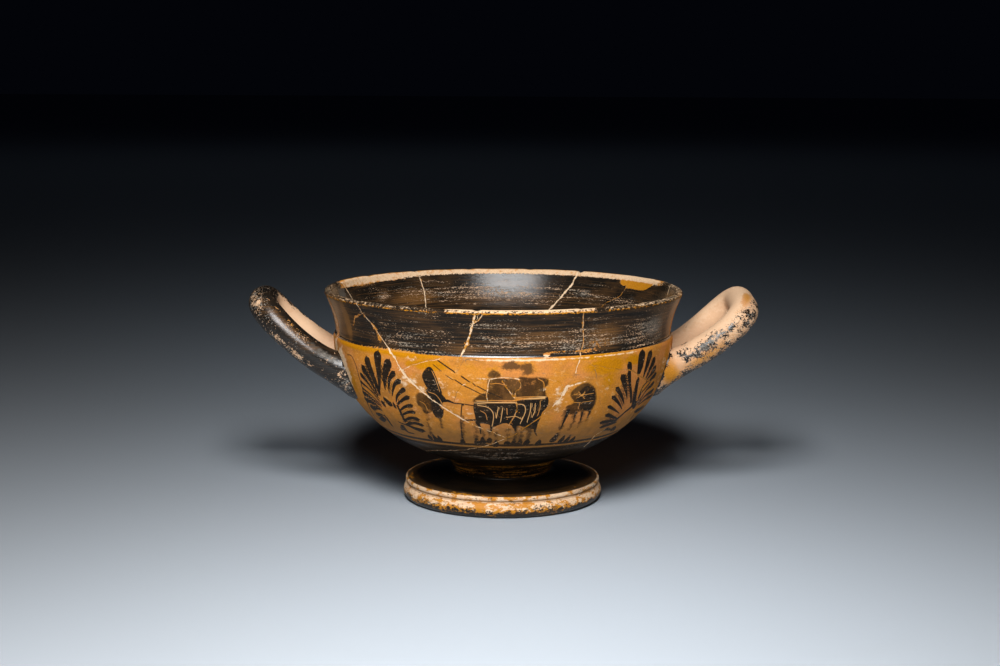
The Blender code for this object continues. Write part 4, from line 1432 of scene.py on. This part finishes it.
def lower_finish():
    """Black gloss under the bowl and on the stem and foot: brown below the reserved line where the gloss is
    thinner, worn to ochre round the stem, and rubbed in brown rings towards the foot's edge, with a painted
    grey sheen there. The gloss is darkened towards the stem and foot as painted shade under the bowl."""
    nodes = Finish("lower gloss", 0.12)
    up = nodes.height()
    streaks = nodes.noise(0.05, 1.6, 4.0, 0.7, shift=2.0)
    under = nodes.step(up, BLACK_TOP_Z - 2.5, BLACK_TOP_Z, 0.0, 0.6)
    stem = nodes.times(nodes.step(up, FOOT_TOP_Z, FOOT_TOP_Z + 0.6), nodes.fall(up, 17.5, 19.5), 0.66)
    # Near the foot's edge: rubbed brown and bare streaks, with grey as a painted sheen
    plate = nodes.step(up, FOOT_EDGE_Z + 0.9, FOOT_EDGE_Z, 0.0, 0.95)
    gloss = nodes.use(
        "black gloss",
        flecks=nodes.times(nodes.field("flecks"), nodes.step(up, 22.0, 24.0)),
        streaks=0.35,
        thin=nodes.plus(under, nodes.times(stem, 0.5), nodes.times(plate, 0.8)),
        haze=nodes.times(plate, 0.5),
        bare=nodes.times(nodes.most(stem, nodes.times(plate, 0.6)), nodes.step(streaks, 0.42, 0.62)),
    )
    breaks = nodes.use("old breaks", flaking=0.3)
    # Painted shade under the bowl: the gloss is darkened towards the stem and foot
    slip = nodes.tint(gloss["Colour"], nodes.step(up, 20.0, 30.0, 0.42, 0.85))
    colour = nodes.blend(gloss["Cover"], nodes.blend(0.5, nodes.clay["Colour"], OCHRE), slip)
    colour = nodes.blend(breaks["Line"], colour, breaks["Colour"])
    rough = nodes.between(gloss["Dull"], GLOSS_ROUGHNESS, DULL_ROUGHNESS)
    rough = nodes.most(rough, nodes.times(nodes.rest(gloss["Cover"]), 0.6))
    nodes.paint(colour, rough, nodes.plus(nodes.clay["Height"], gloss["Height"], breaks["Height"]))


def foot_edge_finish():
    """The foot's edge: cream and ochre clay above, paler towards the top partly as a painted highlight, with
    painted shade in the groove and fine black remains that thicken towards the ground."""
    nodes = Finish("foot edge", 0.35)
    up = nodes.height()
    gloss = nodes.use("black gloss", flecks=0.2, streaks=0.5)
    broad = nodes.swing(nodes.noise(0.11, 0.3, 4.0, 0.6, shift=3.0))
    fine = nodes.noise(0.7, 1.1, 5.0, 0.8)
    remains = nodes.plus(nodes.step(up, 0.8, TORUS_HEIGHT - 0.8, 1.0, 0.13), nodes.times(broad, 1.6))
    left = nodes.rough_edge(remains, fine, 2.8, 0.50, 0.62)
    # Paler cream towards the top of the edge and ochre lower down: partly the clay's colours, partly a
    # painted highlight
    warm = nodes.noise(0.25, 0.5, 5.0, 0.7, shift=5.0)
    warm = nodes.rough_edge(nodes.step(up, 2.0, 5.2, 0.85, 0.44), warm, 2.6, 0.45, 0.6)
    pale = nodes.blend(nodes.step(nodes.noise(0.35, 1.2, 4.0, 0.7, shift=4.0), 0.4, 0.6), CREAM, BARE_CLAY)
    ground = nodes.blend(warm, pale, nodes.blend(nodes.step(fine, 0.4, 0.6), OCHRE, CLAY))
    # Painted shade in the groove: the clay darkens towards its middle
    groove = nodes.size(nodes.plus(up, -GROOVE_Z))
    ground = nodes.blend(nodes.step(groove, 0.2, 0.5, 0.75, 0.0), ground, SHADED_CLAY)
    marks = nodes.step(nodes.noise(0.5, 1.2, 3.0, 0.6, shift=9.0), 0.66, 0.70)
    left = nodes.most(left, marks)
    colour = nodes.blend(left, ground, gloss["Colour"])
    height = nodes.plus(nodes.clay["Height"], nodes.times(left, 0.05), nodes.times(fine, 0.08))
    nodes.paint(colour, nodes.between(left, 0.55, 0.4), height)


def hollow_finish():
    """Under the foot: bare clay with rubbed slip."""
    nodes = Finish("foot hollow")
    rubbed = nodes.step(nodes.noise(0.12, 0.12, 4.0, 0.6), 0.5, 0.68)
    colour = nodes.blend(nodes.times(rubbed, 0.6), nodes.clay["Colour"], CREAM)
    nodes.paint(colour, nodes.between(rubbed, 0.62, 0.8), nodes.clay["Height"])


def handle_finish(name, worn):
    """A handle: black gloss, clay on the side that faces the loop's middle, worn through in long patches and
    speckled grey and cream all over."""
    nodes = Finish(name, 0.5)
    edge = nodes.swing(nodes.noise(0.22, 0.22, 5.0, 0.7))
    fine = nodes.swing(nodes.noise(0.9, 0.9, 4.0, 0.75, shift=3.0))
    rag = nodes.plus(nodes.times(edge, 2.6), nodes.times(fine, 0.6), worn)
    bare = nodes.plus(nodes.field("bare"), rag)
    # These fields also carry a painted sheen and highlight on the loop's upper flank
    thin, haze = nodes.field("thin"), nodes.field("haze")
    gloss = nodes.use("black gloss", streaks=0.3, thin=thin, haze=haze, bare=bare)
    chance = nodes.plus(nodes.noise(1.3, 1.3, 3.0, 0.7, shift=7.0), nodes.times(edge, 0.4))
    speck = nodes.specks(chance, nodes.field("flecks"), 0.70, 0.48, 0.07)
    kind = nodes.step(nodes.noise(0.5, 0.5, 2.0, 0.5, shift=2.0), 0.45, 0.55)
    slip = nodes.blend(nodes.times(speck, 0.75), gloss["Colour"], nodes.blend(kind, GREY_DUST_AND_SHEEN, BARE_CLAY))
    ground = nodes.blend(nodes.times(nodes.rest(nodes.field("ochre")), 0.8), nodes.clay["Colour"], BARE_CLAY)
    colour = nodes.blend(gloss["Cover"], ground, slip)
    rough = nodes.between(gloss["Cover"], CLAY_ROUGHNESS, 0.25)
    rough = nodes.most(rough, nodes.times(nodes.most(gloss["Dull"], speck), DULL_ROUGHNESS))
    dents = nodes.times(nodes.noise(0.35, 0.35, 3.0, 0.6, shift=5.0), 0.12)
    height = nodes.plus(nodes.clay["Height"], gloss["Height"], dents, nodes.times(speck, -0.02))
    nodes.paint(colour, rough, height)


glossed_finish("lip gloss", flecks=0.2, streaks=1.0, thin=0.15, flaking=1.2, specular=0.12)
glossed_finish("ledge gloss", flecks=0.15, streaks=0.3, thin=0.0, flaking=0.6, specular=1.0, shine=0.24)
glossed_finish(
    "inside gloss", flecks=0.1, streaks=1.0, thin=0.05, flaking=0.8, specular=0.38, shine=0.2, warm=0.08
)
lower_finish()
band_finish()
foot_edge_finish()
hollow_finish()
handle_finish("left handle", worn=0.0)
handle_finish("right handle", worn=0.08)


# Camera, floor and light


def camera():
    """The photo's camera: 59 mm on a 36 mm sensor, turned a little about the vessel's axis."""
    pitch, roll, turn = 0.1460, 0.005, math.radians(2.3)
    forward = Vector((0, math.cos(pitch), -math.sin(pitch)))
    right = Vector((1, 0, 0))
    up = Vector((0, math.sin(pitch), math.cos(pitch)))
    rolled_right = right * math.cos(roll) + up * math.sin(roll)
    rolled_up = -right * math.sin(roll) + up * math.cos(roll)
    eye = Vector((-0.0013, -0.6887, 0.17123))
    rows = [(rolled_right[k], rolled_up[k], -forward[k], eye[k]) for k in range(3)]
    data = bpy.data.cameras.new("studio camera")
    data.sensor_width = 36
    data.lens = 59.31
    data.clip_start = 0.01
    data.clip_end = 50
    obj = bpy.data.objects.new("studio camera", data)
    obj.matrix_world = Matrix.Rotation(-turn, 4, "Z") @ Matrix((*rows, (0, 0, 0, 1)))
    bpy.context.scene.collection.objects.link(obj)
    bpy.context.scene.camera = obj


SOFT_BOX = (-0.07, -0.50, 0.43)
SOFT_BOX_SIZE = (0.40, 0.28)
FLOOR_BOX = (-0.042, -0.41, 0.363)
FLOOR_BOX_AIM = (-0.042, -0.385, 0)
FLOOR_BOX_SIZE = (0.12, 0.24)
# Narrow beams from the floor box's place, as (name, y they are aimed at, size, power, colour, spread)
FLOOR_BEAMS = [
    ("near floor beam", -0.08, (0.1, 0.1), 0.066, (0.9, 1, 1.1), 50),
    ("far floor beam", 0.6, (0.14, 0.28), 0.072, (0.8, 1, 1.2), 44),
]


def soft_light(name, place, aim, size, power, lit, colour=(1, 1, 1), spread=180.0):
    """A rectangular soft box that looks from its place to its aim and lights one object only."""
    data = bpy.data.lights.new(name, "AREA")
    data.shape = "RECTANGLE"
    data.size, data.size_y = size
    data.energy = power
    data.color = colour
    data.spread = math.radians(spread)
    obj = bpy.data.objects.new(name, data)
    obj.location = place
    obj.rotation_euler = (Vector(aim) - Vector(place)).to_track_quat("-Z", "Y").to_euler()
    bpy.context.scene.collection.objects.link(obj)
    receivers = bpy.data.collections.new("lit by the " + name)
    receivers.objects.link(lit)
    obj.light_linking.receiver_collection = receivers
    return obj


def studio():
    """A pale floor lit most strongly in front, one soft box over the cup's left front, a weak one behind it,
    and a dark surround. The cup and the floor have lights of their own, so each can be set."""
    mesh = bpy.data.meshes.new("studio_floor")
    mesh.from_pydata([(-20, -3, 0), (20, -3, 0), (20, 60, 0), (-20, 60, 0)], [], [(0, 1, 2, 3)])
    floor = bpy.data.objects.new("studio_floor", mesh)
    bpy.context.scene.collection.objects.link(floor)
    paper = bpy.data.materials.new("pale paper")
    paper.use_nodes = True
    shader = paper.node_tree.nodes["Principled BSDF"]
    shader.inputs["Base Color"].default_value = (0.43, 0.465, 0.505, 1)
    shader.inputs["Roughness"].default_value = 0.8
    shader.inputs["Specular IOR Level"].default_value = 0.2
    mesh.materials.append(paper)
    soft_light("cup soft box", SOFT_BOX, (0, 0, 0.04), SOFT_BOX_SIZE, 5.6, cup)
    soft_light("floor soft box", FLOOR_BOX, FLOOR_BOX_AIM, FLOOR_BOX_SIZE, 3.6, floor)
    for name, y, size, power, colour, spread in FLOOR_BEAMS:
        soft_light(name, FLOOR_BOX, (0.03, y, 0), size, power, floor, colour, spread)
    soft_light("far floor soft box", (0, 3, 2), (0, 3, 0), (2, 2), 0.45, floor, (0.885, 1, 1.13))
    behind = soft_light("back soft box", (0.2, 0.9, 0.5), (0, 0, 0.05), (0.5, 0.4), 3.0, cup)
    behind.visible_glossy = False
    world = bpy.data.worlds.new("dark studio")
    world.use_nodes = True
    world.node_tree.nodes["Background"].inputs["Color"].default_value = (0.375, 0.5, 1, 1)
    world.node_tree.nodes["Background"].inputs["Strength"].default_value = 0.0024
    bpy.context.scene.world = world
    bpy.context.scene.view_settings.view_transform = "Standard"


camera()
studio()
